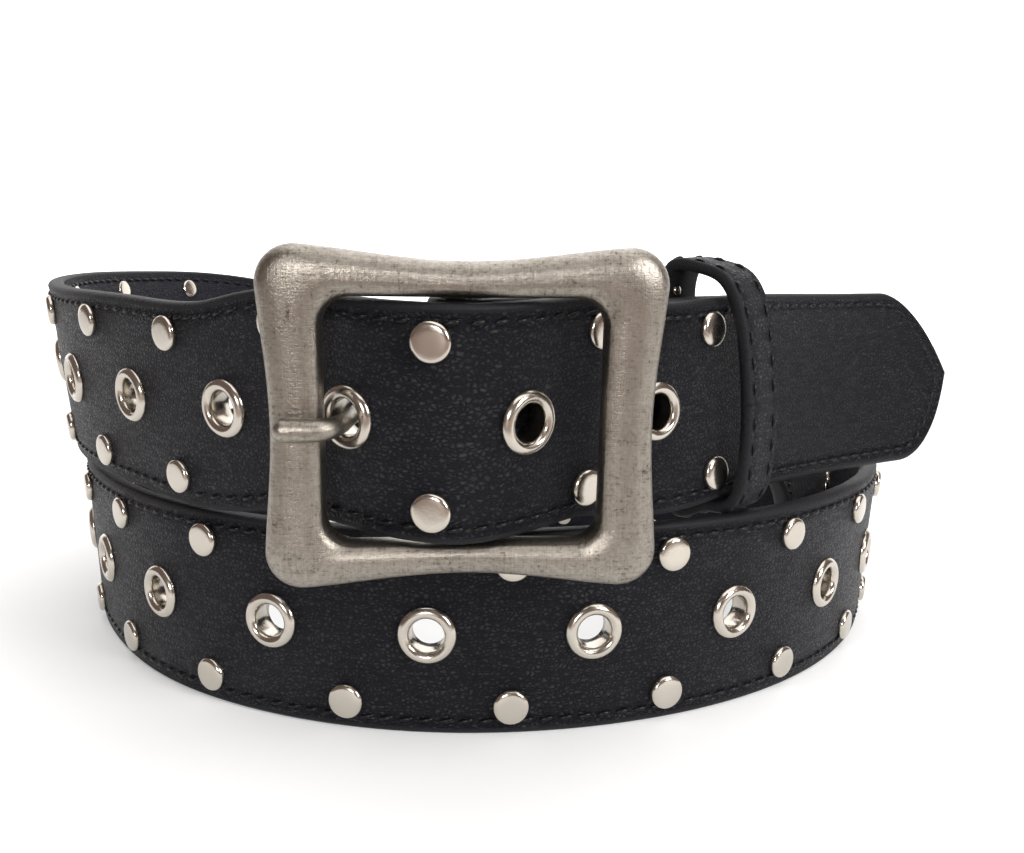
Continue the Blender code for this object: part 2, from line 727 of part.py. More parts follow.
def prong_line():
    """Points and radii of the prong, in the plane across the centre bar."""
    thick = PRONG_DIAMETER / 2
    neck = PRONG_NECK_DIAMETER / 2
    hole, _, _, out = ROUTE.frame(PRONG_RUN)
    hole_x, hole_depth, _ = BUCKLE.inside(hole)
    outwards = np.array([out @ BUCKLE.along, -out @ BUCKLE.out])
    steep = unit(outwards + np.array(HOLE_TILT))
    half = STRAP_THICKNESS / 2
    middle = np.array([hole_x, hole_depth])
    bar_edge = -WINDOW_WIDTH / 2
    over_bar = -FRAME_THICKNESS / 2 - GAP - thick
    ring = (RING_INNER + RING_OUTER) / 2
    before_hole = middle - steep * (half + BEHIND_HOLE) + np.array(BEHIND_HOLE_SHIFT)
    after_hole = middle + steep * (half + BEFORE_HOLE)
    front = -FRAME_THICKNESS / 2
    rows = [
        (BAR_ALONG + ring * RING_LEAVE[0], BAR_DEPTH + ring * RING_LEAVE[1], neck),
        (BAR_ALONG - ring + BEHIND_FOLD[0], BAR_DEPTH + BEHIND_FOLD[1], neck),
        (*before_hole, neck),
        (*(middle - steep * half), neck),
        (*after_hole, neck),
        (bar_edge + thick + ONTO_BAR[0], front + ONTO_BAR[1], (2 * neck + thick) / 3),
        (bar_edge + AT_BAR_EDGE[0], over_bar + AT_BAR_EDGE[1], (neck + 3 * thick) / 4),
        (bar_edge - ON_BAR, over_bar, thick),
        (bar_edge - PRONG_REACH + thick / 2, over_bar, thick),
    ]
    return rows


def prong_solids():
    """The prong's wire, and the ring that turns on the centre bar."""
    rows = [(*BUCKLE.point(along, depth), radius) for along, depth, radius in prong_line()]
    line = smooth_curve(rows, 2.2 * MM)
    centres, radii = list(line[:, :3]), list(line[:, 3])
    last, direction = centres[-1], unit(centres[-1] - centres[-2])
    thick = radii[-1]
    for share in (0.5, 0.8, 0.95):
        centres.append(last + direction * thick * share * 0.9)
        radii.append(thick * math.sqrt(1 - share ** 2))
    wire = swept(centres, radii, 10, BUCKLE.up)
    half = PRONG_RING_WIDTH / 2
    edge = PRONG_RING_CHAMFER
    profile = ((RING_INNER, -half), (RING_OUTER - edge, -half), (RING_OUTER, edge - half),
               (RING_OUTER, half - edge), (RING_OUTER - edge, half), (RING_INNER, half))
    axis = BUCKLE.point(BAR_ALONG, BAR_DEPTH)
    ring = turned(profile, axis, BUCKLE.along, BUCKLE.out, BUCKLE.up, 12)
    return wire, ring


def ring_slot_solid():
    """The slot through the fold that the prong's ring turns in, as a cutter."""
    half = PRONG_RING_WIDTH / 2 + GAP
    axis = BUCKLE.point(BAR_ALONG, BAR_DEPTH)
    ends = [axis - half * BUCKLE.up, axis + half * BUCKLE.up]
    radius = FOLD_RADIUS + GAP / 2
    return swept(ends, [radius, radius], 24, BUCKLE.along)


def keeper_space():
    """Frame of the keeper and the middle line of its loop, across the strap."""
    middle, along, up, out = ROUTE.frame(KEEPER_RUN)
    half_band = KEEPER_THICKNESS / 2
    front = STRAP_THICKNESS / 2 + KEEPER_BULGE + half_band
    layers = STRAP_THICKNESS * 1.5 + 2 * LAYER_GAP + FOLD_THICKNESS
    back = layers + KEEPER_EASE + half_band
    high = STRAP_WIDTH / 2 + KEEPER_HEADROOM + half_band
    points = []
    for share_out, share_up in KEEPER_OUTLINE:
        reach = front if share_out > 0 else back
        points.append((share_out * reach, share_up * high, 0.0))
    wrapped = points[-4:] + points + points[:4]
    line = smooth_curve(wrapped, 2.8 * MM)
    first = int(np.argmin(np.linalg.norm(line[:len(line) // 2] - points[0], axis=1)))
    last = int(np.argmin(np.linalg.norm(line[len(line) // 2:] - points[0], axis=1)))
    return (middle, along, up, out), line[first:len(line) // 2 + last, :2], back


def keeper_solid():
    """The leather loop round both layers of the strap."""
    (middle, along, up, out), line, _ = keeper_space()
    solid = Solid()
    rings = []
    count = len(line)
    half_band, half_long = KEEPER_THICKNESS / 2, KEEPER_WIDTH / 2
    for index, here in enumerate(line):
        direction = unit(line[(index + 1) % count] - line[index - 1])
        outward = np.array([direction[1], -direction[0]])
        ring = []
        for side, shift in ((1, half_long), (1, -half_long), (-1, -half_long), (-1, half_long)):
            place = here + side * half_band * outward
            ring.append(solid.add(middle + place[0] * out + place[1] * up + shift * along))
        rings.append(ring)
    for lower, upper in zip(rings, rings[1:] + rings[:1]):
        solid.band(lower, upper)
    return solid


def keeper_rivet_solid():
    """The small rivet at the top of the keeper's back, its head inside the loop."""
    (middle, along, up, out), line, back = keeper_space()
    radius = RIVET_DIAMETER / 2
    height = STRAP_WIDTH / 2 + GAP + radius
    wall_line = np.array(sorted((high, reach) for reach, high in line if reach < -back / 2))
    beside = np.linspace(height - radius, height + radius, 5)
    wall = np.interp(beside, *wall_line.T).max() + KEEPER_THICKNESS / 2 + GAP
    foot = middle + wall * out + height * up + 0.25 * KEEPER_WIDTH * along
    solid = Solid()
    profile = ((radius, 0.0), (radius, 0.5 * RIVET_HEIGHT), (0.6 * radius, RIVET_HEIGHT))
    rings = [ring_on(solid, foot + high * out, along, up, wide) for wide, high in profile]
    for lower, upper in zip(rings, rings[1:]):
        solid.band(lower, upper)
    solid.faces.append(tuple(reversed(rings[0])))
    solid.faces.append(tuple(rings[-1]))
    return solid


def material(name, colour, roughness, metallic):
    """A plain Principled material."""
    made = bpy.data.materials.new(name)
    made.use_nodes = True
    shader = made.node_tree.nodes["Principled BSDF"]
    shader.inputs["Base Color"].default_value = (*colour, 1.0)
    shader.inputs["Roughness"].default_value = roughness
    shader.inputs["Metallic"].default_value = metallic
    return made


def add_object(name, solid, finish, shift):
    """An object made of a solid's corners and faces, moved to the belt's origin."""
    mesh = bpy.data.meshes.new(name)
    corners = [Vector(corner) - Vector(shift) for corner in solid.corners]
    mesh.from_pydata(corners, [], solid.faces)
    work = bmesh.new()
    work.from_mesh(mesh)
    bmesh.ops.recalc_face_normals(work, faces=work.faces)
    if work.calc_volume(signed=True) < 0:
        bmesh.ops.reverse_faces(work, faces=work.faces)
    work.to_mesh(mesh)
    work.free()
    mesh.shade_smooth()
    mesh.set_sharp_from_angle(angle=math.radians(35))
    mesh.materials.append(finish)
    made = bpy.data.objects.new(name, mesh)
    bpy.context.scene.collection.objects.link(made)
    return made


def add_cutter(name, solid, finish, shift, target, operation):
    """A guide object and the Boolean that uses it on its target."""
    guide = add_object(name, solid, finish, shift)
    guide.hide_render = True
    guide.display_type = "WIRE"
    boolean = target.modifiers.new(name, "BOOLEAN")
    boolean.operation = operation
    boolean.object = guide
    boolean.solver = "EXACT"


def box_centre(solids):
    """Bottom centre of the box round the solids."""
    corners = np.vstack([solid.corners for solid in solids])
    low, high = corners.min(axis=0), corners.max(axis=0)
    return (low[0] + high[0]) / 2, (low[1] + high[1]) / 2, low[2]


def build():
    """Make the whole belt."""
    for item in list(bpy.data.objects):
        bpy.data.objects.remove(item, do_unlink=True)

    leather = material("black_leather", (0.018, 0.018, 0.022), 0.5, 0.0)
    keeper_leather = material("keeper_leather", (0.03, 0.03, 0.034), 0.6, 0.0)
    nickel = material("nickel", (0.78, 0.74, 0.68), 0.22, 1.0)
    pewter = material("antique_pewter", (0.42, 0.39, 0.35), 0.38, 1.0)

    strap, seats = strap_solid()
    frame = frame_solid()
    keeper = keeper_solid()
    shift = box_centre([strap, frame, keeper])

    strap_object = add_object("strap", strap, leather, shift)
    add_cutter("ring_slot", ring_slot_solid(), leather, shift, strap_object, "DIFFERENCE")

    for number, (centre, along, up, out) in enumerate(seats, start=1):
        eyelet = turned(eyelet_profile(), centre, along, up, out)
        add_object(f"eyelet_{number:02d}", eyelet, nickel, shift)

    frame_object = add_object("buckle_frame", frame, pewter, shift)
    for name, solid in zip(("lug_top", "lug_bottom"), lug_solids()):
        add_cutter(name, solid, pewter, shift, frame_object, "UNION")
    add_cutter("centre_bar", centre_bar_solid(), pewter, shift, frame_object, "UNION")

    wire, ring = prong_solids()
    prong_object = add_object("prong", ring, pewter, shift)
    add_cutter("prong_wire", wire, pewter, shift, prong_object, "UNION")

    add_object("keeper", keeper, keeper_leather, shift)
    add_object("keeper_rivet", keeper_rivet_solid(), nickel, shift)


build()
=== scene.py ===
"""The studded belt's looks: skin, stitches, studs, eyelets, buckle and keeper on the CAD frame.

The strap's route is worked out here again from the same named sizes and tables as in part.py,
so that the smooth skin follows the faceted solid. Metres, +Z up, the front faces -Y.
"""

import math

import bpy
import numpy as np
from mathutils import Matrix, Vector


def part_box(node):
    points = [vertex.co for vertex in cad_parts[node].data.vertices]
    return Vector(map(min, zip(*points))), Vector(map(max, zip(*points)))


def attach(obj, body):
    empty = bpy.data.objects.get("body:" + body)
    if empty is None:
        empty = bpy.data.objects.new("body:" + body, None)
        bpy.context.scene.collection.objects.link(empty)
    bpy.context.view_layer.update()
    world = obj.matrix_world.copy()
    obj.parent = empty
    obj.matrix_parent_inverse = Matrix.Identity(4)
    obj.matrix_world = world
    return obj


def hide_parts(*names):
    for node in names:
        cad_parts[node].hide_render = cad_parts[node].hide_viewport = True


MM = 0.001
GAP = 0.3 * MM
LAYER_GAP = 0.6 * MM

# Strap
STRAP_WIDTH = 38.0 * MM
STRAP_THICKNESS = 3.6 * MM
FOLD_THICKNESS = 2.2 * MM
SKIVE_RUN = 16.0 * MM
FOLD_RUN = 78.0 * MM
LAYERED_RUN = 84.0 * MM
FREE_END = 80.2 * MM
TIP_ROUND = 16.5 * MM
TIP_TURN = 60.0
TIP_BLUNT = 0.4 * MM
PLAIN_INNER_RUN = 116.0 * MM

# Coil
COIL_WIDTH = 200.0 * MM
COIL_DEPTH = 200.0 * MM
TURN_CLEARANCE = 0.5 * MM

# Pattern of eyelets and studs
PITCH = 29.5 * MM
STUD_ROW_SPACING = 26.8 * MM
STUD_HEIGHT = 1.3 * MM
EYELETS_TOWARDS_TIP = 2

# Buckle
WINDOW_WIDTH = 43.2 * MM
WINDOW_CLEARANCE = 0.55 * MM
WINDOW_CORNER = 4.5 * MM
SIDE_BAR = 8.3 * MM
CROSS_BAR = 5.4 * MM
SIDE_DIP = 1.7 * MM
CROSS_DIP = 2.6 * MM
OUTER_CORNER = 6.5 * MM
FRAME_THICKNESS = 6.0 * MM
CORNER_SWELL = 0.7 * MM
CENTRE_BAR_DIAMETER = 3.6 * MM
LUG_WIDTH = 7.0 * MM
LUG_FROM_WINDOW = 0.4 * MM
LUG_FROM_EDGE = 0.8 * MM
LUG_WALL = 0.6 * MM
STRAP_PROUD = 1.6 * MM
BUCKLE_YAW = 4.35
BUCKLE_LEAN = 5.5
BUCKLE_ACROSS = -0.055
BUCKLE_BACK = -0.0805
BUCKLE_LIFT = 2.4 * MM

# Prong
PRONG_DIAMETER = 3.7 * MM
PRONG_NECK_DIAMETER = 2.8 * MM
PRONG_RING_WIDTH = 4.4 * MM
PRONG_RING_CHAMFER = 0.5 * MM
PRONG_END_LENGTH = 0.95
PRONG_END_BLUNT = 0.05 * MM
PRONG_HOLE_ALONG = -0.806
PRONG_REACH = 6.4 * MM

# The prong's way from its ring to its tip, in the plane across the centre bar.
RING_LEAVE = (-0.95, 0.25)
BEHIND_FOLD = (-4.0 * MM, 1.7 * MM)
BEHIND_HOLE = 3.0 * MM
BEHIND_HOLE_SHIFT = (1.6 * MM, -0.5 * MM)
HOLE_TILT = (0.30, -0.25)
BEFORE_HOLE = 1.0 * MM
ONTO_BAR = (0.5 * MM, 1.0 * MM)
AT_BAR_EDGE = (0.2 * MM, 0.35 * MM)
ON_BAR = 2.2 * MM

# Keeper
KEEPER_WIDTH = 9.5 * MM
KEEPER_THICKNESS = 1.6 * MM
KEEPER_HEADROOM = 2.8 * MM
KEEPER_BULGE = 4.6 * MM
KEEPER_EASE = 1.2 * MM
KEEPER_AFTER_STUDS = 2.0 * MM
KEEPER_STEP = 0.8 * MM
KEEPER_PADDING = 0.5 * MM
KEEPER_ROUND = 0.5 * MM
KEEPER_SHOULDER = (0.1 * MM, 0.3 * MM)
KEEPER_GROOVE_DEPTH = 0.22 * MM
KEEPER_GROOVE_WIDTH = 0.6 * MM
KEEPER_STITCH_ROW = 3.1 * MM
KEEPER_STITCH_PITCH = 4.6 * MM
KEEPER_STITCH_HEIGHT = 0.35 * MM

CURVE_STEP = 0.5 * MM

# The numbers of points on the layer behind the strap, round the fold and behind that layer.
LAYER_POINTS = 15
FOLD_POINTS = 22
REAR_POINTS = 9

APEX_ALONG = -0.055

# The strap through the buckle. Along is a share of half the window, depth a share of how
# far the strap dips to pass behind the bars.
OVER_BUCKLE = (
    # along, depth
    (0.95, 1.21),
    (0.676, 0.80),
    (0.412, 0.383),
    (0.120, 0.065),
    (APEX_ALONG, 0.0),
    (-0.227, 0.065),
    (-0.532, 0.318),
    (-0.806, 0.72),
    (-1.074, 1.168),
    (-1.343, 1.60),
)

# In the next tables x and y are shares of the coil's width and depth, foot is the height of
# the strap's lower edge as a share of its width, and lean is outwards at the top, in degrees.
FREE_END_RUN = (
    # x, y, foot, lean
    (0.535, 0.325, 1.100, -15.0),
    (0.476, 0.307, 1.100, -15.0),
    (0.410, 0.277, 1.092, -13.0),
    (0.335, 0.228, 1.080, -9.5),
    (0.267, 0.171, 1.078, -6.5),
    (0.162, 0.069, 1.060, -1.5),
    (0.104, 0.022, 1.046, 1.0),
)
UPPER_LEFT = (
    # x, y, foot, lean
    (-0.266, 0.021, 1.040, 4.8),
    (-0.381, 0.114, 1.037, 4.8),
    (-0.481, 0.223, 1.056, 5.7),
    (-0.549, 0.353, 1.096, 7.4),
    (-0.569, 0.498, 1.133, 9.3),
    (-0.541, 0.642, 1.146, 11.0),
    (-0.473, 0.772, 1.120, 12.0),
)
BACK = (
    # x, y, foot of the sinking turn, its lean, lean of the turn inside it
    (-0.360, 0.8562, 0.970, 9.0, 3.0),
    (-0.200, 0.8688, 0.740, 5.0, 1.0),
    (0.000, 0.8118, 0.430, 2.0, 0.0),
    (0.190, 0.7263, 0.160, 2.0, 0.0),
    (0.345, 0.6281, 0.020, 3.0, 0.0),
    (0.430, 0.5609, 0.000, 4.5, 0.0),
)
LOWER_TURN = (
    # x, y, foot, lean
    (0.434, 0.429, 0.0, 4.5),
    (0.389, 0.289, 0.0, 3.5),
    (0.307, 0.167, 0.0, 2.5),
    (0.194, 0.073, 0.0, 2.0),
    (0.059, 0.016, 0.0, 1.7),
    (-0.088, 0.000, 0.0, 1.7),
    (-0.230, 0.032, 0.0, 1.8),
    (-0.356, 0.108, 0.0, 2.1),
    (-0.452, 0.219, 0.0, 2.7),
    (-0.520, 0.350, 0.0, 3.6),
    (-0.544, 0.490, 0.0, 4.0),
    (-0.520, 0.630, 0.0, 4.0),
)
INNER_LAYERS = -2.63
INNER_RISE = (
    # x, y, foot, lean
    (0.385, 0.440, 0.16, 0.0),
    (0.350, 0.335, 0.42, -1.0),
    (0.305, 0.262, 0.75, -3.0),
)

# Across the strap, round the keeper: out is a share of the loop's reach to its front or to
# its back, up a share of half the loop's height.
KEEPER_OUTLINE = (
    # out, up
    (1.00, 0.00),
    (0.96, 0.34),
    (0.76, 0.74),
    (0.34, 0.98),
    (-0.30, 1.08),
    (-0.84, 1.09),
    (-1.00, 0.93),
    (-1.00, 0.60),
    (-1.00, 0.20),
    (-1.00, -0.20),
    (-1.00, -0.60),
    (-1.00, -0.88),
    (-0.86, -0.99),
    (-0.50, -0.96),
    (-0.12, -0.906),
    (0.26, -0.900),
    (0.64, -0.79),
    (0.86, -0.56),
    (0.97, -0.28),
)

# Across the frame's bar: across runs from the window to the outer edge, front from -1 at the
# back to 1 at the front.
BAR_SECTION = (
    # across, front
    (0.00, -0.55),
    (0.10, -1.00),
    (0.90, -1.00),
    (1.00, -0.45),
    (1.00, 0.20),
    (0.90, 0.68),
    (0.64, 0.98),
    (0.30, 1.00),
    (0.07, 0.72),
    (0.00, 0.20),
)

# A lug that holds the centre bar, as shares of half its width and of its depth.
LUG_OUTLINE = ((-1.0, 0.0), (1.0, 0.0), (1.0, 0.8), (0.7, 1.0), (-0.7, 1.0), (-1.0, 0.8))

# Layers outwards from the centre bar's axis, and what follows from them.
BAR_TO_FOLD = CENTRE_BAR_DIAMETER / 2 + LAYER_GAP + FOLD_THICKNESS / 2
FOLD_RADIUS = BAR_TO_FOLD + FOLD_THICKNESS / 2
BAR_TO_STRAP = FOLD_RADIUS + 2 * LAYER_GAP + STRAP_THICKNESS / 2
APEX_DEPTH = -(FRAME_THICKNESS / 2 + STRAP_PROUD - STRAP_THICKNESS / 2)
BAR_DEPTH = APEX_DEPTH + BAR_TO_STRAP
BAR_ALONG = APEX_ALONG * WINDOW_WIDTH / 2
DIP = FRAME_THICKNESS / 2 + GAP + STRAP_THICKNESS + MM - APEX_DEPTH
WINDOW_HEIGHT = STRAP_WIDTH + 2 * WINDOW_CLEARANCE
RING_INNER = CENTRE_BAR_DIAMETER / 2 + GAP
RING_OUTER = FOLD_RADIUS - GAP
LAYER = STRAP_THICKNESS + STUD_HEIGHT + TURN_CLEARANCE


def unit(vector):
    """The vector at length one."""
    vector = np.asarray(vector, float)
    return vector / np.linalg.norm(vector)


def smooth_curve(points, step=CURVE_STEP):
    """A natural cubic spline through the points, in every column, sampled at even steps."""
    points = np.asarray(points, float)
    chords = np.linalg.norm(np.diff(points[:, :3], axis=0), axis=1)
    knots = np.concatenate([[0.0], np.cumsum(chords)])
    count = len(points)
    matrix = np.zeros((count, count))
    right = np.zeros_like(points)
    matrix[0, 0] = matrix[-1, -1] = 1.0
    slopes = np.diff(points, axis=0) / chords[:, None]
    for row in range(1, count - 1):
        before, after = chords[row - 1], chords[row]
        matrix[row, row - 1:row + 2] = before, 2 * (before + after), after
        right[row] = 6 * (slopes[row] - slopes[row - 1])
    bend = np.linalg.solve(matrix, right)
    at = np.linspace(0.0, knots[-1], int(knots[-1] / step) + 1)
    span = np.clip(np.searchsorted(knots, at, side="right") - 1, 0, count - 2)
    width = chords[span][:, None]
    low = (knots[span + 1] - at)[:, None]
    high = (at - knots[span])[:, None]
    cubic = (bend[span] * low ** 3 + bend[span + 1] * high ** 3) / (6 * width)
    start = (points[span] / width - bend[span] * width / 6) * low
    end = (points[span + 1] / width - bend[span + 1] * width / 6) * high
    return cubic + start + end


class BuckleSpace:
    """The buckle's own space: along its width, inwards from its middle plane, and up."""

    def __init__(self):
        yaw, lean = math.radians(BUCKLE_YAW), math.radians(BUCKLE_LEAN)
        level_out = np.array([math.sin(yaw), -math.cos(yaw), 0.0])
        upright = np.array([0.0, 0.0, 1.0])
        self.along = np.array([math.cos(yaw), math.sin(yaw), 0.0])
        self.up = math.cos(lean) * upright + math.sin(lean) * level_out
        self.out = math.cos(lean) * level_out - math.sin(lean) * upright
        height = STRAP_WIDTH + BUCKLE_LIFT + STRAP_WIDTH / 2 * math.cos(lean)
        self.centre = np.array([BUCKLE_ACROSS * COIL_WIDTH, BUCKLE_BACK * COIL_DEPTH, height])

    def point(self, along, depth, up=0.0):
        """A point of this space in the belt's space."""
        return self.centre + along * self.along - depth * self.out + up * self.up

    def inside(self, place):
        """Along, depth and up of a place in the belt's space."""
        offset = np.asarray(place) - self.centre
        return offset @ self.along, -offset @ self.out, offset @ self.up


BUCKLE = BuckleSpace()


class Route:
    """A strap's middle line, with its lean and thickness, read by the distance along it."""

    def __init__(self, rows, ups=None):
        self.rows = np.asarray(rows, float)
        steps = np.linalg.norm(np.diff(self.rows[:, :3], axis=0), axis=1)
        self.runs = np.concatenate([[0.0], np.cumsum(steps)])
        self.length = self.runs[-1]
        self.ups = self.leaning() if ups is None else np.asarray(ups)

    def leaning(self):
        """The direction of the strap's width at each point, worked out from its lean."""
        along = np.gradient(self.rows[:, :3], axis=0)
        along /= np.linalg.norm(along, axis=1)[:, None]
        upright = np.array([0.0, 0.0, 1.0]) - along[:, 2:3] * along
        upright /= np.linalg.norm(upright, axis=1)[:, None]
        lean = np.radians(self.rows[:, 3])[:, None]
        return np.cos(lean) * upright + np.sin(lean) * np.cross(upright, along)

    def at(self, run, columns):
        """The columns' values at one distance along the line."""
        return np.array([np.interp(run, self.runs, column) for column in columns.T])

    def frame(self, run):
        """Middle, direction along, up the strap's width, and out of its front face."""
        reach = 0.6 * MM
        before = self.at(max(run - reach, 0.0), self.rows[:, :3])
        after = self.at(min(run + reach, self.length), self.rows[:, :3])
        along = unit(after - before)
        up = self.at(run, self.ups)
        up = unit(up - np.dot(up, along) * along)
        return self.at(run, self.rows[:, :3]), along, up, np.cross(up, along)

    def thickness(self, run):
        """The strap's thickness at one distance along the line."""
        return self.at(run, self.rows[:, 4:5])[0]

    def nearest(self, place, first=0.0, last=None):
        """Distance along the line, between two limits, of the point nearest to a place."""
        gaps = np.linalg.norm(self.rows[:, :3] - np.asarray(place), axis=1)
        last = self.length if last is None else last
        gaps[(self.runs < first) | (self.runs > last)] = 1.0
        return self.runs[int(np.argmin(gaps))]


def plan_rows(table):
    """Middle points of the strap, with lean and thickness, from a table of plan points."""
    rows = []
    for x, y, foot, lean in table:
        height = foot * STRAP_WIDTH + STRAP_WIDTH / 2 * math.cos(math.radians(lean))
        rows.append((x * COIL_WIDTH, y * COIL_DEPTH, height, lean, STRAP_THICKNESS))
    return rows


def over_buckle_rows():
    """Middle points of the strap from the keeper over the centre bar to the left bar."""
    rows = []
    for along, depth in OVER_BUCKLE:
        place = BUCKLE.point(along * WINDOW_WIDTH / 2, APEX_DEPTH + depth * DIP)
        rows.append((*place, BUCKLE_LEAN, STRAP_THICKNESS))
    return rows


def moved_out(rows, layers):
    """The rows moved outwards in plan by a number of layers of strap."""
    rows = np.array(rows)
    along = np.gradient(rows[:, :2], axis=0)
    along /= np.linalg.norm(along, axis=1)[:, None]
    rows[:, 0] -= along[:, 1] * layers * LAYER
    rows[:, 1] += along[:, 0] * layers * LAYER
    return [tuple(row) for row in rows]


def turns():
    """Middle points of the strap from beyond its tip to where it climbs behind the tip."""
    rows = plan_rows(FREE_END_RUN) + over_buckle_rows() + plan_rows(UPPER_LEFT)
    rows += plan_rows([(x, y, foot, lean) for x, y, foot, lean, _ in BACK])
    rows += plan_rows(LOWER_TURN)
    inner = plan_rows([(x, y, 0.0, lean) for x, y, _, _, lean in BACK])
    rows += moved_out(inner, INNER_LAYERS)
    return rows + plan_rows(INNER_RISE)


def skived(run):
    """Thickness of the buckle end at a distance from the centre bar."""
    share = min(max(run / SKIVE_RUN, 0.0), 1.0)
    return FOLD_THICKNESS + (STRAP_THICKNESS - FOLD_THICKNESS) * share


def behind(route, contact, run, layer_depth, thickness):
    """A point behind the free end's line, at a distance from the centre bar along it."""
    middle, _, _, out = route.frame(contact - run)
    lean = route.at(contact - run, route.rows[:, 3:4])[0]
    return (*(middle - layer_depth * out), lean, thickness)


def whole_route():
    """The strap's line from beyond its tip to the end of its fold."""
    rows = turns()
    outer = Route(smooth_curve(rows))
    axis = BUCKLE.point(BAR_ALONG, BAR_DEPTH)
    contact = outer.nearest(axis, last=outer.length / 4)
    front = []
    for run in np.linspace(LAYERED_RUN, 0.0, LAYER_POINTS):
        thickness = skived(run)
        depth = STRAP_THICKNESS / 2 + LAYER_GAP + thickness / 2
        depth = max(depth, BAR_TO_STRAP - BAR_TO_FOLD)
        front.append(behind(outer, contact, run, depth, thickness))
    line = smooth_curve(rows + front)
    line[:, 4] = np.minimum(line[:, 4], STRAP_THICKNESS)
    main = Route(line)
    contact = main.nearest(axis, last=main.length / 4)
    _, along, up, out = main.frame(contact)

    radius = np.linalg.norm(main.rows[-1, :3] - axis)
    turn = []
    for angle in np.linspace(0.0, math.pi, FOLD_POINTS)[1:]:
        place = axis + radius * (math.cos(angle) * out + math.sin(angle) * along)
        turn.append((*place, BUCKLE_LEAN, FOLD_THICKNESS))
    rear = turn[-2:]
    for run in np.linspace(1.25 * SKIVE_RUN, FOLD_RUN, REAR_POINTS):
        depth = 1.5 * STRAP_THICKNESS + 2 * LAYER_GAP + FOLD_THICKNESS / 2
        rear.append(behind(main, contact, run, depth, FOLD_THICKNESS))
    rear = smooth_curve(rear)
    turn_step = radius * math.pi / (FOLD_POINTS - 1)
    rear = rear[np.linalg.norm(rear[:, :3] - turn[-2][:3], axis=1) > turn_step]
    rows = np.vstack([main.rows, turn, rear])
    beside = [main.nearest(row[:3], contact - FOLD_RUN - MM, contact) for row in rear]
    ups = [*main.ups, *[up] * len(turn), *[main.frame(run)[2] for run in beside]]
    return Route(rows, ups), contact, main.length


ROUTE, CONTACT_RUN, FOLD_START = whole_route()
PRONG_RUN = ROUTE.nearest(
    BUCKLE.point(PRONG_HOLE_ALONG * WINDOW_WIDTH / 2, BAR_DEPTH), last=ROUTE.length / 4
)
LAST_STUD_RUN = PRONG_RUN - (EYELETS_TOWARDS_TIP + 0.5) * PITCH
TIP_RUN = LAST_STUD_RUN - FREE_END
KEEPER_RUN = LAST_STUD_RUN - KEEPER_AFTER_STUDS - KEEPER_WIDTH / 2


def pattern():
    """Distances along the route of the eyelets and of the pairs of studs."""
    last = FOLD_START - PLAIN_INNER_RUN
    first = PRONG_RUN - EYELETS_TOWARDS_TIP * PITCH
    eyelets = list(np.arange(first, last, PITCH))
    studs = list(np.arange(first - PITCH / 2, last, PITCH))
    return eyelets, studs


def half_width(run):
    """Half the strap's width, which narrows at the tip in two arcs that meet in a point."""
    turn = math.radians(TIP_TURN)
    share = 1 - min(max(run - TIP_RUN, 0.0) / TIP_ROUND, 1.0)
    fall = (1 - math.sqrt(1 - (share * math.sin(turn)) ** 2)) / (1 - math.cos(turn))
    return max(STRAP_WIDTH / 2 * (1 - fall), TIP_BLUNT)


def frame_outline(half_wide, half_high, corner, side_dip, cross_dip):
    """A rounded rectangle with hollow sides, as along and up in the buckle's space."""
    points = []
    centres = [(1, 1), (-1, 1), (-1, -1), (1, -1)]
    for quarter, (right, top) in enumerate(centres):
        middle = np.array([right * (half_wide - corner), top * (half_high - corner)])
        arc = [quarter * math.pi / 2 + share * math.pi / 2
               for share in np.linspace(0.0, 1.0, FRAME_CORNER_POINTS)]
        points += [middle + corner * np.array([math.cos(a), math.sin(a)]) for a in arc]
        after_right, after_top = centres[(quarter + 1) % 4]
        after = np.array([after_right * (half_wide - corner), after_top * (half_high - corner)])
        turn = arc[-1]
        after = after + corner * np.array([math.cos(turn), math.sin(turn)])
        shares = np.linspace(0.0, 1.0, FRAME_SIDE_POINTS)[1:-1]
        points += [points[-1] + share * (after - points[-1]) for share in shares]
    hollow = []
    for x, y in points:
        across = 1 - side_dip / half_wide * math.cos(math.pi / 2 * y / half_high) ** 2
        high = 1 - cross_dip / half_high * math.cos(math.pi / 2 * x / half_wide) ** 2
        hollow.append((x * across, y * high))
    return hollow


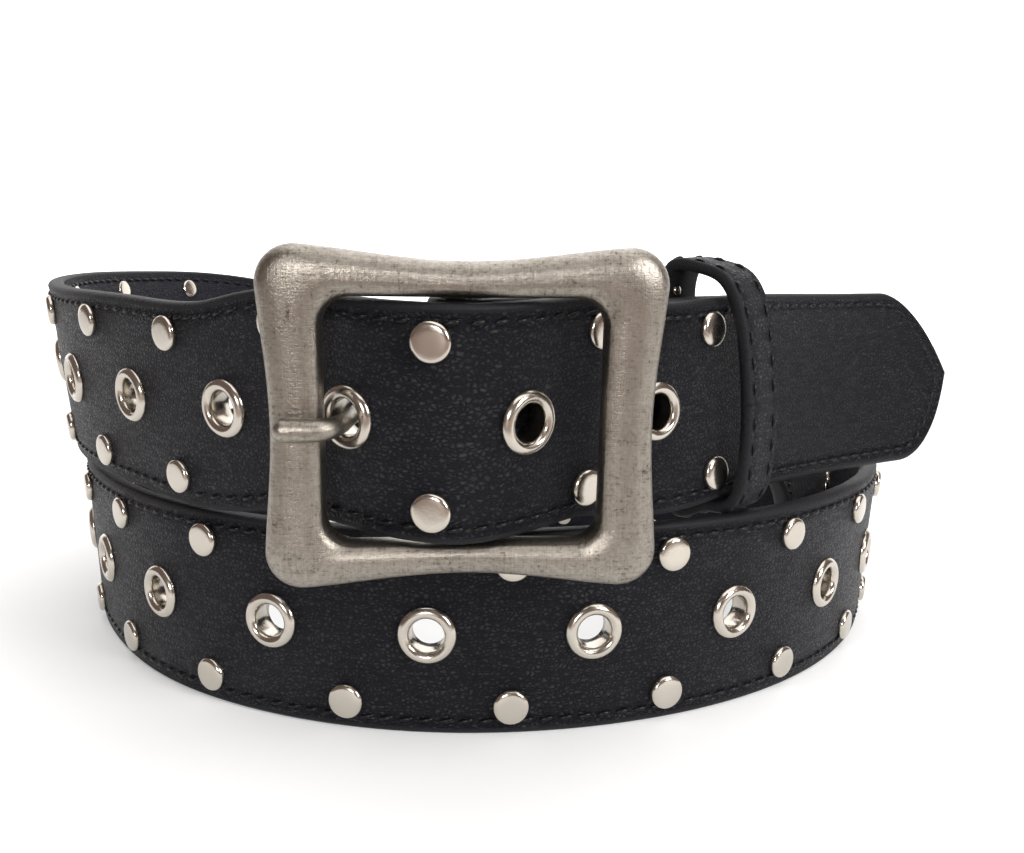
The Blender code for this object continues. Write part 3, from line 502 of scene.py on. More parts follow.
def prong_line():
    """Points and radii of the prong, in the plane across the centre bar."""
    thick = PRONG_DIAMETER / 2
    neck = PRONG_NECK_DIAMETER / 2
    hole, _, _, out = ROUTE.frame(PRONG_RUN)
    hole_x, hole_depth, _ = BUCKLE.inside(hole)
    outwards = np.array([out @ BUCKLE.along, -out @ BUCKLE.out])
    steep = unit(outwards + np.array(HOLE_TILT))
    half = STRAP_THICKNESS / 2
    middle = np.array([hole_x, hole_depth])
    bar_edge = -WINDOW_WIDTH / 2
    over_bar = -FRAME_THICKNESS / 2 - GAP - thick
    ring = (RING_INNER + RING_OUTER) / 2
    before_hole = middle - steep * (half + BEHIND_HOLE) + np.array(BEHIND_HOLE_SHIFT)
    after_hole = middle + steep * (half + BEFORE_HOLE)
    front = -FRAME_THICKNESS / 2
    return [
        (BAR_ALONG + ring * RING_LEAVE[0], BAR_DEPTH + ring * RING_LEAVE[1], neck),
        (BAR_ALONG - ring + BEHIND_FOLD[0], BAR_DEPTH + BEHIND_FOLD[1], neck),
        (*before_hole, neck),
        (*(middle - steep * half), neck),
        (*after_hole, neck),
        (bar_edge + thick + ONTO_BAR[0], front + ONTO_BAR[1], (2 * neck + thick) / 3),
        (bar_edge + AT_BAR_EDGE[0], over_bar + AT_BAR_EDGE[1], (neck + 3 * thick) / 4),
        (bar_edge - ON_BAR, over_bar, thick),
        (bar_edge - PRONG_REACH + thick / 2, over_bar, thick),
    ]


def keeper_line():
    """The middle line of the keeper's loop, as out and up across the strap."""
    half_band = KEEPER_THICKNESS / 2
    front = STRAP_THICKNESS / 2 + KEEPER_BULGE + half_band
    layers = STRAP_THICKNESS * 1.5 + 2 * LAYER_GAP + FOLD_THICKNESS
    back = layers + KEEPER_EASE + half_band
    high = STRAP_WIDTH / 2 + KEEPER_HEADROOM + half_band
    points = []
    for share_out, share_up in KEEPER_OUTLINE:
        reach = front if share_out > 0 else back
        points.append((share_out * reach, share_up * high, 0.0))
    wrapped = points[-4:] + points + points[:4]
    line = smooth_curve(wrapped, KEEPER_STEP)
    first = int(np.argmin(np.linalg.norm(line[:len(line) // 2] - points[0], axis=1)))
    last = int(np.argmin(np.linalg.norm(line[len(line) // 2:] - points[0], axis=1)))
    return line[first:len(line) // 2 + last, :2]


# Skin
FACE, EDGE, LINING = 0, 1, 2
EDGE_ROUND = 1.2 * MM
EDGE_ANGLES = (22, 45, 68, 90)
SKIN_STEP = 1.5 * MM
FOLD_STEP = 0.7 * MM
FOLD_BEFORE = 6.0 * MM
FOLD_AFTER = 8.0 * MM
SLOT_BEFORE = 2.0 * MM
SLOT_AFTER = 4.0 * MM
TIP_STATIONS = 26
TIP_CROWDING = 1.4
END_SLIVER = 0.01 * MM
DENSE_FROM = 12.5 * MM
MIDDLE_TO = 11.0 * MM
LINING_UV_SHIFT = 60.0 * MM
STITCH_INSET = 2.7 * MM
STITCH_END = 3.0 * MM
STITCH_LENGTH = 2.8 * MM
STITCH_PITCH = 3.6 * MM
STITCH_RADIUS = 0.42 * MM
STITCH_SLANT = 9.0
SAME_PLACE = 1e-7
GROOVE_DEPTH = 0.28 * MM
GROOVE_WIDTH = 0.9 * MM
MARGIN_DROP = 0.12 * MM
MARGIN_WIDTH = 0.4 * MM
HOLE_CUT = 4.25 * MM
EYELET_MIDDLE = 0.7 * MM

# Sides of the round pieces, and points of the frame's outline.
CAP_SIDES = 32
BACK_SIDES = 20
EYELET_SIDES = 40
KNOB_SIDES = 24
BAR_SIDES = 24
WIRE_SIDES = 28
THREAD_SIDES = 7
FRAME_CORNER_POINTS = 12
FRAME_SIDE_POINTS = 26
CORNER_CUT = 0.2

# Floor: its glow, a painted pool of light round the belt, and its tone fade in front of it
# to a painted shade, from the first of these places in Y to the second, so that the leather
# mirrors a dim ground. The tone is white from the share FLOOR_WHITE of the way.
FLOOR_GLOW = 0.24
FLOOR_DIM = 0.02
# Painted shade: the floor's darker warm tone in front of the belt.
FLOOR_PAINTED_SHADE = (0.27, 0.205, 0.18)
FLOOR_WHITE = 0.98
FADE_START = -0.14
FADE_END = -0.22
BACKDROP_GLOW = 1.1

# Camera, from the photograph: places in the plan of the tables, before the shift to the origin.
CAMERA_PLACE = (-3.43 * MM, -171.43 * MM, 83.33 * MM)
CAMERA_DOWN = 8.995
CAMERA_ROLL = 0.73
CAMERA_LENS = 35.32
SENSOR_WIDTH = 36.0

# Turned outlines in millimetres. Those of a stud's cap and a rivet's back start from the face
# of the leather.
STUD_PROFILE = (
    # radius, height
    (3.20, -0.30),
    (3.30, 0.10),
    (3.30, 0.62),
    (3.18, 0.95),
    (2.92, 1.18),
    (2.50, 1.31),
    (1.60, 1.37),
    (0.60, 1.39),
)
RIVET_PROFILE = (
    # radius, height
    (2.70, -0.30),
    (2.75, 0.12),
    (2.55, 0.32),
    (1.90, 0.46),
    (0.60, 0.50),
)
# From the middle of the leather: the eyelet's barrel, its rolled ring and its back flange.
EYELET_PROFILE = (
    # radius, height
    (3.10, -1.90),
    (3.08, 0.00),
    (3.08, 1.70),
    (3.16, 2.20),
    (3.42, 2.62),
    (3.90, 2.92),
    (4.40, 2.94),
    (4.92, 2.70),
    (5.28, 2.28),
    (5.44, 1.86),
    (5.36, 1.62),
    (4.60, 1.66),
    (3.60, 1.66),
    (3.55, -1.70),
    (4.70, -1.74),
    (4.75, -1.95),
    (4.20, -2.20),
    (3.40, -2.16),
)
# From the middle of the keeper's rivet.
KNOB_PROFILE = (
    # radius, height
    (0.95, -0.55),
    (1.05, -0.20),
    (1.00, 0.20),
    (0.75, 0.45),
    (0.30, 0.58),
)
# One stitch, as shares of its length, its radius and its radius.
THREAD_PROFILE = (
    # along, width, rise
    (-0.50, 0.45, -0.80),
    (-0.38, 0.85, -0.10),
    (-0.20, 1.00, 0.25),
    (0.00, 1.00, 0.35),
    (0.20, 1.00, 0.25),
    (0.38, 0.85, -0.10),
    (0.50, 0.45, -0.80),
)


def plan_shift():
    """How far the tables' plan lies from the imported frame's origin, read from the eyelets."""
    offsets = []
    for number, run in enumerate(pattern()[0], 1):
        middle, _, _, out = ROUTE.frame(run)
        low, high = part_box(f"eyelet_{number:02d}")
        offsets.append(middle + EYELET_MIDDLE * out - np.array((low + high) / 2))
    across, back, _ = np.mean(offsets, axis=0)
    return np.array([across, back, 0.0])


def placed(name, data):
    """An object of the data, linked to the scene."""
    made = bpy.data.objects.new(name, data)
    bpy.context.scene.collection.objects.link(made)
    return made


def set_inputs(node, values):
    """Set a node's inputs, by name."""
    for name, value in values.items():
        node.inputs[name].default_value = value


def new_material(name, roughness, metallic=0.0, colour=(0.5, 0.5, 0.5)):
    """A Principled material, and its node tree and shader."""
    made = bpy.data.materials.new(name)
    made.use_nodes = True
    tree = made.node_tree
    shader = tree.nodes["Principled BSDF"]
    values = {"Base Color": (*colour, 1.0), "Roughness": roughness, "Metallic": metallic}
    set_inputs(shader, values)
    return made, tree, shader


def coordinates(tree, stretch, source="UV"):
    """Texture coordinates in millimetres, divided by a stretch along each axis."""
    start = tree.nodes.new("ShaderNodeTexCoord")
    mapping = tree.nodes.new("ShaderNodeMapping")
    mapping.inputs["Scale"].default_value = [1 / (MM * share) for share in stretch]
    tree.links.new(start.outputs[source], mapping.inputs["Vector"])
    return mapping.outputs["Vector"]


def noise(tree, vector, detail=3.0, roughness=0.5, distortion=0.0):
    """A noise texture's value, one cell per unit."""
    made = tree.nodes.new("ShaderNodeTexNoise")
    set_inputs(made, {"Scale": 1.0, "Detail": detail, "Roughness": roughness,
                      "Distortion": distortion})
    tree.links.new(vector, made.inputs["Vector"])
    return made.outputs["Fac"]


def cells(tree, vector):
    """A Voronoi texture's distance to its cells' edges, one cell per unit."""
    made = tree.nodes.new("ShaderNodeTexVoronoi")
    made.feature = "DISTANCE_TO_EDGE"
    made.inputs["Scale"].default_value = 1.0
    tree.links.new(vector, made.inputs["Vector"])
    return made.outputs["Distance"]


def ramp(tree, value, stops):
    """A colour ramp over a value, from (place, colour) stops."""
    made = tree.nodes.new("ShaderNodeValToRGB")
    elements = made.color_ramp.elements
    while len(elements) < len(stops):
        elements.new(0.5)
    for element, (place, colour) in zip(elements, stops):
        element.position = place
        grey = colour if isinstance(colour, tuple) else (colour, colour, colour)
        element.color = (*grey, 1.0)
    tree.links.new(value, made.inputs["Fac"])
    return made.outputs["Color"]


def weighed(tree, parts):
    """The sum of values, each times its weight."""
    total = None
    for value, weight in parts:
        product = tree.nodes.new("ShaderNodeMath")
        product.operation = "MULTIPLY_ADD"
        product.inputs[1].default_value = weight
        product.inputs[2].default_value = 0.0
        tree.links.new(value, product.inputs[0])
        if total is not None:
            tree.links.new(total, product.inputs[2])
        total = product.outputs["Value"]
    return total


def bumped(tree, shader, height, distance):
    """Set a shader's bump from a height."""
    bump = tree.nodes.new("ShaderNodeBump")
    set_inputs(bump, {"Distance": distance, "Strength": 1.0})
    tree.links.new(height, bump.inputs["Height"])
    tree.links.new(bump.outputs["Normal"], shader.inputs["Normal"])


def leather_material(name, colour, roughness, grain):
    """Leather with a pebbled grain, fine creases along the strap and a slight mottle, and painted
    glints: the grain's peaks are coloured lighter.
    """
    made, tree, shader = new_material(name, roughness, colour=colour)
    pebble = cells(tree, coordinates(tree, (0.95, 0.7, 1.0)))
    fine = noise(tree, coordinates(tree, (0.45, 0.3, 0.5)), 4.0, 0.6)
    crease = noise(tree, coordinates(tree, (5.0, 0.8, 1.0)), 5.0, 0.7, 0.8)
    soft = noise(tree, coordinates(tree, (16.0, 9.0, 9.0)), 2.0)
    height = weighed(tree, [(pebble, 0.9), (fine, 0.7), (crease, 0.9), (soft, 1.2)])
    bumped(tree, shader, height, 1.5 * grain * MM)
    # Painted highlight: the colour lightens on the grain's peaks as painted glints, brighter with
    # more grain.
    tone = weighed(tree, [(pebble, 0.6), (fine, 0.45), (crease, 0.45)])
    painted_glint = 0.01 + 0.06 * grain
    shade = ramp(tree, tone, [(0.50, colour), (0.57, (0.011, 0.011, 0.013)), (0.74, painted_glint)])
    tree.links.new(shade, shader.inputs["Base Color"])
    gloss = ramp(tree, tone, [(0.46, roughness + 0.16), (0.70, roughness - 0.12)])
    tree.links.new(gloss, shader.inputs["Roughness"])
    set_inputs(shader, {"Specular IOR Level": 0.24, "Specular Tint": (0.84, 0.87, 1.0, 1.0)})
    return made


def edge_material():
    """The painted edge, dull and a little lumpy."""
    made, tree, shader = new_material("painted_edge", 0.55, colour=(0.009, 0.009, 0.011))
    shader.inputs["Specular IOR Level"].default_value = 0.2
    rough = noise(tree, coordinates(tree, (0.9, 0.35, 1.0)), 4.0, 0.6)
    bumped(tree, shader, rough, 0.25 * MM)
    return made


def thread_material():
    """Black glossy thread."""
    made, _, shader = new_material("black_thread", 0.34, colour=(0.003, 0.003, 0.004))
    shader.inputs["Specular IOR Level"].default_value = 0.25
    return made


def nickel_material():
    """Polished nickel with faint wear."""
    made, tree, shader = new_material("polished_nickel", 0.2, 1.0, (0.54, 0.50, 0.44))
    wear = noise(tree, coordinates(tree, (1.6, 1.6, 1.6), "Object"), 5.0, 0.7)
    tree.links.new(ramp(tree, wear, [(0.3, 0.13), (0.75, 0.27)]), shader.inputs["Roughness"])
    bumped(tree, shader, wear, 0.03 * MM)
    return made


def pewter_material():
    """Antique silver: warm grey, brushed, mottled and pitted."""
    made, tree, shader = new_material("antique_silver", 0.36, 1.0)
    mottle = noise(tree, coordinates(tree, (3.0, 3.0, 2.2), "Object"), 7.0, 0.8, 0.3)
    scratch = noise(tree, coordinates(tree, (6.0, 2.0, 0.22), "Object"), 4.0, 0.7)
    cross = noise(tree, coordinates(tree, (0.25, 2.0, 5.0), "Object"), 4.0, 0.7)
    pits = noise(tree, coordinates(tree, (0.7, 0.7, 0.5), "Object"), 3.0, 0.8)
    tone = weighed(tree, [(mottle, 0.35), (scratch, 0.2), (cross, 0.2), (pits, 0.35)])
    colour = ramp(tree, tone, [
        (0.44, (0.07, 0.060, 0.050)),
        (0.50, (0.24, 0.218, 0.185)),
        (0.62, (0.35, 0.322, 0.280)),
    ])
    tree.links.new(colour, shader.inputs["Base Color"])
    gloss = ramp(tree, tone, [(0.42, 0.46), (0.62, 0.30)])
    tree.links.new(gloss, shader.inputs["Roughness"])
    height = weighed(tree, [(scratch, 0.4), (cross, 0.4), (pits, 0.8)])
    bumped(tree, shader, height, 0.09 * MM)
    return made


def mesh_piece(name, places, faces, finishes, indices=None, uv=None):
    """A smooth mesh object that rides on the belt's one body."""
    mesh = bpy.data.meshes.new(name)
    mesh.from_pydata([tuple(place) for place in places], [], [tuple(face) for face in faces])
    for finish in finishes:
        mesh.materials.append(finish)
    if indices is not None:
        mesh.polygons.foreach_set("material_index", np.asarray(indices, np.int32))
    if uv is not None:
        layer = mesh.uv_layers.new(name="UVMap")
        corners = np.zeros(len(mesh.loops), np.int32)
        mesh.loops.foreach_get("vertex_index", corners)
        layer.data.foreach_set("uv", np.asarray(uv, np.float32)[corners].ravel())
    mesh.shade_smooth()
    made = placed(name, mesh)
    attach(made, "root")
    return made


class Shells:
    """Corners and faces of many small shells, gathered into one mesh."""

    def __init__(self):
        self.places = []
        self.faces = []

    def add(self, rings, loop=False):
        """Join rings of the same count, in a loop or with a face on the first and the last."""
        count = len(rings[0])
        first = len(self.places)
        for ring in rings:
            self.places.extend(ring)
        pairs = list(zip(range(len(rings)), range(1, len(rings))))
        if loop:
            pairs.append((len(rings) - 1, 0))
        for low, high in pairs:
            for index in range(count):
                after = (index + 1) % count
                corners = (low, index), (low, after), (high, after), (high, index)
                self.faces.append([first + row * count + column for row, column in corners])
        if not loop:
            last = first + (len(rings) - 1) * count
            self.faces.append([first + index for index in reversed(range(count))])
            self.faces.append([last + index for index in range(count)])

    def piece(self, name, finish):
        """The gathered shells as one piece."""
        return mesh_piece(name, self.places, self.faces, [finish])


def circle(centre, side, up, radius, sides):
    """Places round a centre."""
    angles = np.arange(sides) * 2 * math.pi / sides
    return centre + radius * (np.outer(np.cos(angles), side) + np.outer(np.sin(angles), up))


def turned_rings(profile, centre, along, up, out, sides):
    """Rings of a profile given in millimetres, turned round an axis."""
    return [circle(centre + height * MM * out, along, up, radius * MM, sides)
            for radius, height in profile]


def skin_stations():
    """Distances along the route of the skin's sections, close together at tip and fold."""
    tip = TIP_RUN + TIP_ROUND * np.linspace(0.0, 1.0, TIP_STATIONS) ** TIP_CROWDING
    dense_start = FOLD_START - FOLD_BEFORE
    dense_end = FOLD_START + math.pi * BAR_TO_FOLD + FOLD_AFTER
    plain = np.arange(TIP_RUN + TIP_ROUND, dense_start, SKIN_STEP)[1:]
    fold = np.arange(dense_start, dense_end, FOLD_STEP)
    rear = np.arange(dense_end, ROUTE.length, SKIN_STEP)
    return np.unique(np.concatenate([tip, plain, fold, rear, [ROUTE.length - END_SLIVER]]))


def relief(from_edge):
    """How far the skin lies below the strap's plain face: the stitch groove and its margin."""
    groove = GROOVE_DEPTH * np.exp(-((from_edge - STITCH_INSET) / GROOVE_WIDTH) ** 2)
    margin = MARGIN_DROP / (1 + np.exp((from_edge - STITCH_INSET) / MARGIN_WIDTH))
    return groove + margin


def skin_profile():
    """Points round the section: across, depth as a share of half the thickness, finish."""
    flat_half = STRAP_WIDTH / 2 - EDGE_ROUND
    dense = np.linspace(-flat_half, -DENSE_FROM, 14)
    low = np.concatenate([dense, np.linspace(-MIDDLE_TO, 0, 8)])
    face = np.concatenate([low, -low[-2::-1]])
    round_share = EDGE_ROUND / (STRAP_THICKNESS / 2)
    rim = [(flat_half + EDGE_ROUND * math.sin(angle), 1 - round_share * (1 - math.cos(angle)))
           for angle in map(math.radians, EDGE_ANGLES)]
    points = [(across, 1.0, FACE) for across in face[::-1]]
    points += [(-across, deep, EDGE) for across, deep in rim]
    points += [(-across, -deep, EDGE) for across, deep in reversed(rim)]
    points += [(across, -1.0, LINING) for across in face]
    points += [(across, -deep, EDGE) for across, deep in rim]
    points += [(across, deep, EDGE) for across, deep in reversed(rim)]
    return points


def strap_skin(shift, leather, edge, lining):
    """The leather's smooth skin, with its holes, rounded edges and pressed stitch lines."""
    runs = skin_stations()
    profile = skin_profile()
    across, deep, kinds = np.array(profile).T
    places, uv = [], []
    for run in runs:
        middle, _, up, out = ROUTE.frame(run)
        half = half_width(run)
        share = half / (STRAP_WIDTH / 2)
        flat = ROUTE.thickness(run) / 2
        high = across * share
        sunk = np.where(kinds == EDGE, 0.0, relief(half - np.abs(high))) * np.sign(deep)
        thick = deep * flat - sunk * min(share * 1.5, 1.0)
        places.append(middle - shift + np.outer(high, up) + np.outer(thick, out))
        around = high + np.where(kinds == LINING, LINING_UV_SHIFT, 0.0)
        around += np.where(kinds == EDGE, thick, 0.0)
        uv.append(np.column_stack([np.full(len(high), run), around]))
    places = np.vstack(places)
    places[:, 2] = np.maximum(places[:, 2], 0.0)
    uv = np.vstack(uv)
    count = len(profile)
    eyelets, _ = pattern()
    slot_start = FOLD_START - SLOT_BEFORE
    slot_end = FOLD_START + math.pi * BAR_TO_FOLD + SLOT_AFTER
    faces, indices = [], []
    for row in range(len(runs) - 1):
        run = (runs[row] + runs[row + 1]) / 2
        beside = min(abs(run - place) for place in eyelets)
        in_slot = slot_start < run < slot_end
        for column in range(count):
            after = (column + 1) % count
            middle_up = (across[column] + across[after]) / 2
            kind = EDGE if EDGE in (kinds[column], kinds[after]) else kinds[column]
            if kind != EDGE and math.hypot(beside, middle_up) < HOLE_CUT:
                continue
            if in_slot and abs(middle_up) < PRONG_RING_WIDTH / 2 + GAP:
                continue
            base = row * count
            faces.append((base + column, base + after, base + count + after, base + count + column))
            indices.append(int(kind))
    last = (len(runs) - 1) * count
    faces.append(tuple(reversed(range(count))))
    faces.append(tuple(range(last, last + count)))
    indices += [EDGE, EDGE]
    return mesh_piece("strap_skin", places, faces, [leather, edge, lining], indices, uv)


def stitch_line():
    """The stitch line round the strap's face: (run, across) from one end round the tip."""
    inset = STRAP_WIDTH / 2 - STITCH_INSET
    start = TIP_RUN + TIP_ROUND
    straight = np.arange(ROUTE.length - STITCH_END, start, -STITCH_PITCH / 4)
    lower = [(run, -inset) for run in straight]
    edge = [(run, half_width(run)) for run in np.linspace(start, TIP_RUN, 60)]
    ahead = np.gradient(np.array(edge), axis=0)
    ahead /= np.linalg.norm(ahead, axis=1)[:, None]
    inner = edge + STITCH_INSET * np.column_stack([-ahead[:, 1], ahead[:, 0]])
    to_tip = lower + [(run, -up) for run, up in inner if up > 0]
    return np.array(to_tip + [(run, -up) for run, up in reversed(to_tip)])


def evenly(line, pitch):
    """Places and directions at even steps along a line in the flat."""
    steps = np.linalg.norm(np.diff(line, axis=0), axis=1)
    line = line[np.concatenate([[True], steps > SAME_PLACE])]
    steps = np.linalg.norm(np.diff(line, axis=0), axis=1)
    runs = np.concatenate([[0.0], np.cumsum(steps)])
    at = np.arange(pitch / 2, runs[-1], pitch)
    places, ahead, back = [
        np.column_stack([np.interp(at + offset, runs, column) for column in line.T])
        for offset in (0.0, pitch / 8, -pitch / 8)
    ]
    heading = ahead - back
    return places, heading / np.linalg.norm(heading, axis=1)[:, None]


def thread(shells, centre, along, up, out):
    """One stitch: a short thread sunk at both ends."""
    rings = []
    for share, wide, rise in THREAD_PROFILE:
        middle = centre + share * STITCH_LENGTH * along + rise * STITCH_RADIUS * out
        rings.append(circle(middle, up, out, wide * STITCH_RADIUS, THREAD_SIDES))
    shells.add(rings)


def strap_stitches(shift, finish):
    """The stitches along both edges and round the tip, on both faces."""
    shells = Shells()
    slant = math.radians(STITCH_SLANT)
    places, headings = evenly(stitch_line(), STITCH_PITCH)
    for (run, across), (ahead, rise) in zip(places, headings):
        middle, along, up, out = ROUTE.frame(run)
        flat = ROUTE.thickness(run) / 2 - GROOVE_DEPTH
        for side in (1, -1):
            forward = ahead * along + rise * up
            forward = math.cos(slant) * forward + math.sin(slant) * np.cross(out, forward)
            centre = middle - shift + across * up + side * flat * out
            thread(shells, centre, forward, np.cross(out, forward), side * out)
    return shells.piece("strap_stitches", finish)


def studs_and_rivets(shift, finish):
    """The flat caps on the front and their rivet backs on the inner face."""
    caps, backs = Shells(), Shells()
    for run in pattern()[1]:
        middle, along, up, out = ROUTE.frame(run)
        flat = ROUTE.thickness(run) / 2
        for side in (1, -1):
            foot = middle - shift + side * STUD_ROW_SPACING / 2 * up
            front, rear = foot + flat * out, foot - flat * out
            caps.add(turned_rings(STUD_PROFILE, front, along, up, out, CAP_SIDES))
            backs.add(turned_rings(RIVET_PROFILE, rear, up, along, -out, BACK_SIDES))
    return caps.piece("studs", finish), backs.piece("rivet_backs", finish)


def eyelet_rings(shift, finish):
    """The rolled rings and barrels of the eyelets."""
    shells = Shells()
    for run in pattern()[0]:
        middle, along, up, out = ROUTE.frame(run)
        rings = turned_rings(EYELET_PROFILE, middle - shift, along, up, out, EYELET_SIDES)
        shells.add(rings, loop=True)
    return shells.piece("eyelets", finish)


def rounded(points, rounds):
    """A closed outline with its corners cut off a number of times."""
    points = np.asarray(points, float)
    for _ in range(rounds):
        after = np.roll(points, -1, axis=0)
        step = CORNER_CUT * (after - points)
        points = np.stack([points + step, after - step], axis=1).reshape(-1, 2)
    return points


def frame_piece(shift, finish):
    """The cast frame, smooth, with its lugs and centre bar."""
    half_window, half_opening = WINDOW_WIDTH / 2, WINDOW_HEIGHT / 2
    inner = frame_outline(half_window, half_opening, WINDOW_CORNER, 0.0, 0.0)
    half_frame = half_window + SIDE_BAR + SIDE_DIP
    half_high = half_opening + CROSS_BAR + CROSS_DIP
    outer = frame_outline(half_frame, half_high, OUTER_CORNER, SIDE_DIP, CROSS_DIP)
    section = rounded(BAR_SECTION, 3)
    rings = []
    for (inner_x, inner_y), (outer_x, outer_y) in zip(inner, outer):
        corner_share = (abs(outer_x) / half_frame * abs(outer_y) / half_high) ** 2
        ring = []
        for across, front in section:
            along = inner_x + (outer_x - inner_x) * across
            up = inner_y + (outer_y - inner_y) * across
            depth = -front * FRAME_THICKNESS / 2
            if front > 0:
                depth -= CORNER_SWELL * corner_share * front
            ring.append(BUCKLE.point(along, depth, up) - shift)
        rings.append(np.array(ring))
    shells = Shells()
    shells.add(rings, loop=True)
    reach = half_opening + CROSS_BAR / 2
    ends = [BUCKLE.point(BAR_ALONG, BAR_DEPTH, high) - shift for high in (-reach, reach)]
    radius = CENTRE_BAR_DIAMETER / 2
    shells.add([circle(end, BUCKLE.along, BUCKLE.out, radius, BAR_SIDES) for end in ends])
    low = half_opening + LUG_FROM_WINDOW
    high = half_opening + CROSS_BAR - LUG_FROM_EDGE
    back = BAR_DEPTH + radius + LUG_WALL
    half_lug = LUG_WIDTH / 2
    corners = [(across * half_lug, depth * back) for across, depth in LUG_OUTLINE]
    for heights in ((low, high), (-high, -low)):
        shells.add([np.array([BUCKLE.point(BAR_ALONG + x, depth, height) - shift
                              for x, depth in corners]) for height in heights])
    made = shells.piece("cast_frame", finish)
    made.data.set_sharp_from_angle(angle=math.radians(50))
    return made


def tube(centres, radii, side_axis, sides):
    """Rings of a tube along a line."""
    along = np.gradient(np.asarray(centres), axis=0)
    rings = []
    for centre, direction, radius in zip(centres, along, radii):
        direction = unit(direction)
        side = unit(side_axis - np.dot(side_axis, direction) * direction)
        rings.append(circle(centre, side, np.cross(direction, side), radius, sides))
    return rings


def prong_piece(shift, finish):
    """The wire prong with its ring on the centre bar."""
    rows = [(*BUCKLE.point(along, depth), radius) for along, depth, radius in prong_line()]
    line = smooth_curve(rows)
    centres, radii = list(line[:, :3] - shift), list(line[:, 3])
    last, direction, thick = centres[-1], unit(centres[-1] - centres[-2]), radii[-1]
    for share in np.sin(np.linspace(0.0, math.pi / 2, 9))[1:]:
        centres.append(last + direction * thick * share * PRONG_END_LENGTH)
        radii.append(max(thick * math.sqrt(max(1 - share ** 2, 0.0)), PRONG_END_BLUNT))
    shells = Shells()
    shells.add(tube(centres, radii, BUCKLE.up, WIRE_SIDES))
    half, edge = PRONG_RING_WIDTH / 2, PRONG_RING_CHAMFER
    profile = ((RING_INNER, -half), (RING_OUTER - edge, -half), (RING_OUTER, edge - half),
               (RING_OUTER, half - edge), (RING_OUTER - edge, half), (RING_INNER, half))
    axis = BUCKLE.point(BAR_ALONG, BAR_DEPTH) - shift
    rings = [circle(axis + height * BUCKLE.up, BUCKLE.along, BUCKLE.out, radius, CAP_SIDES)
             for radius, height in profile]
    shells.add(rings, loop=True)
    return shells.piece("prong_wire", finish)


def keeper_section():
    """Points round the keeper's band: along the strap, outwards of its middle, finish."""
    inner, half = KEEPER_THICKNESS / 2, KEEPER_WIDTH / 2
    outer = inner + KEEPER_PADDING
    flat = half - KEEPER_ROUND
    points = []
    for side in np.linspace(flat, -flat, 15):
        from_row = (abs(side) - KEEPER_STITCH_ROW) / KEEPER_GROOVE_WIDTH
        points.append((side, outer - KEEPER_GROOVE_DEPTH * math.exp(-from_row ** 2), FACE))
    in_by, down_by = KEEPER_SHOULDER
    rim = ((half - in_by, outer - down_by), (half, 0.0), (half, -inner))
    points += [(-side, thick, EDGE) for side, thick in rim]
    return points + [(side, thick, EDGE) for side, thick in reversed(rim)]


def keeper_piece(shift, leather, edge):
    """The keeper's loop, with rounded thick edges."""
    middle, along, up, out = ROUTE.frame(KEEPER_RUN)
    line, section = keeper_line(), keeper_section()
    places, uv, indices, faces = [], [], [], []
    count, total = len(section), len(line)
    gone = 0.0
    for index, here in enumerate(line):
        direction = unit(line[(index + 1) % total] - line[index - 1])
        outward = np.array([direction[1], -direction[0]])
        for side, thick, _ in section:
            flat = here + thick * outward
            places.append(middle - shift + flat[0] * out + flat[1] * up + side * along)
            uv.append((side + thick, gone))
        gone += np.linalg.norm(line[(index + 1) % total] - here)
    for row in range(total):
        following = (row + 1) % total
        for column in range(count):
            after = (column + 1) % count
            faces.append((row * count + column, row * count + after,
                          following * count + after, following * count + column))
            indices.append(max(section[column][2], section[after][2]))
    return mesh_piece("keeper_loop", places, faces, [leather, edge], indices, uv)


def keeper_stitches(shift, finish):
    """Two rows of stitches round the keeper."""
    middle, along, up, out = ROUTE.frame(KEEPER_RUN)
    line = keeper_line()
    shells = Shells()
    closed = np.vstack([line, line[:1]])
    for here, direction in zip(*evenly(closed, KEEPER_STITCH_PITCH)):
        outward = np.array([direction[1], -direction[0]])
        flat = here + (KEEPER_THICKNESS / 2 + KEEPER_STITCH_HEIGHT) * outward
        normal = outward[0] * out + outward[1] * up
        forward = direction[0] * out + direction[1] * up
        for side in (KEEPER_STITCH_ROW, -KEEPER_STITCH_ROW):
            centre = middle - shift + flat[0] * out + flat[1] * up + side * along
            thread(shells, centre, forward, along, normal)
    return shells.piece("keeper_stitches", finish)


def keeper_knob(finish):
    """The little rivet's rounded head inside the keeper."""
    low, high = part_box("keeper_rivet")
    _, along, up, out = ROUTE.frame(KEEPER_RUN)
    centre = np.array((low + high) / 2)
    shells = Shells()
    shells.add(turned_rings(KNOB_PROFILE, centre, along, up, out, KNOB_SIDES))
    return shells.piece("keeper_knob", finish)


def backdrop_material():
    """A white that also glows, as an overexposed sheet of paper does."""
    made, _, shader = new_material("white_backdrop", 0.7, colour=(0.8, 0.8, 0.8))
    glow = {"Emission Color": (1.0, 1.0, 1.0, 1.0), "Emission Strength": BACKDROP_GLOW}
    set_inputs(shader, glow)
    return made


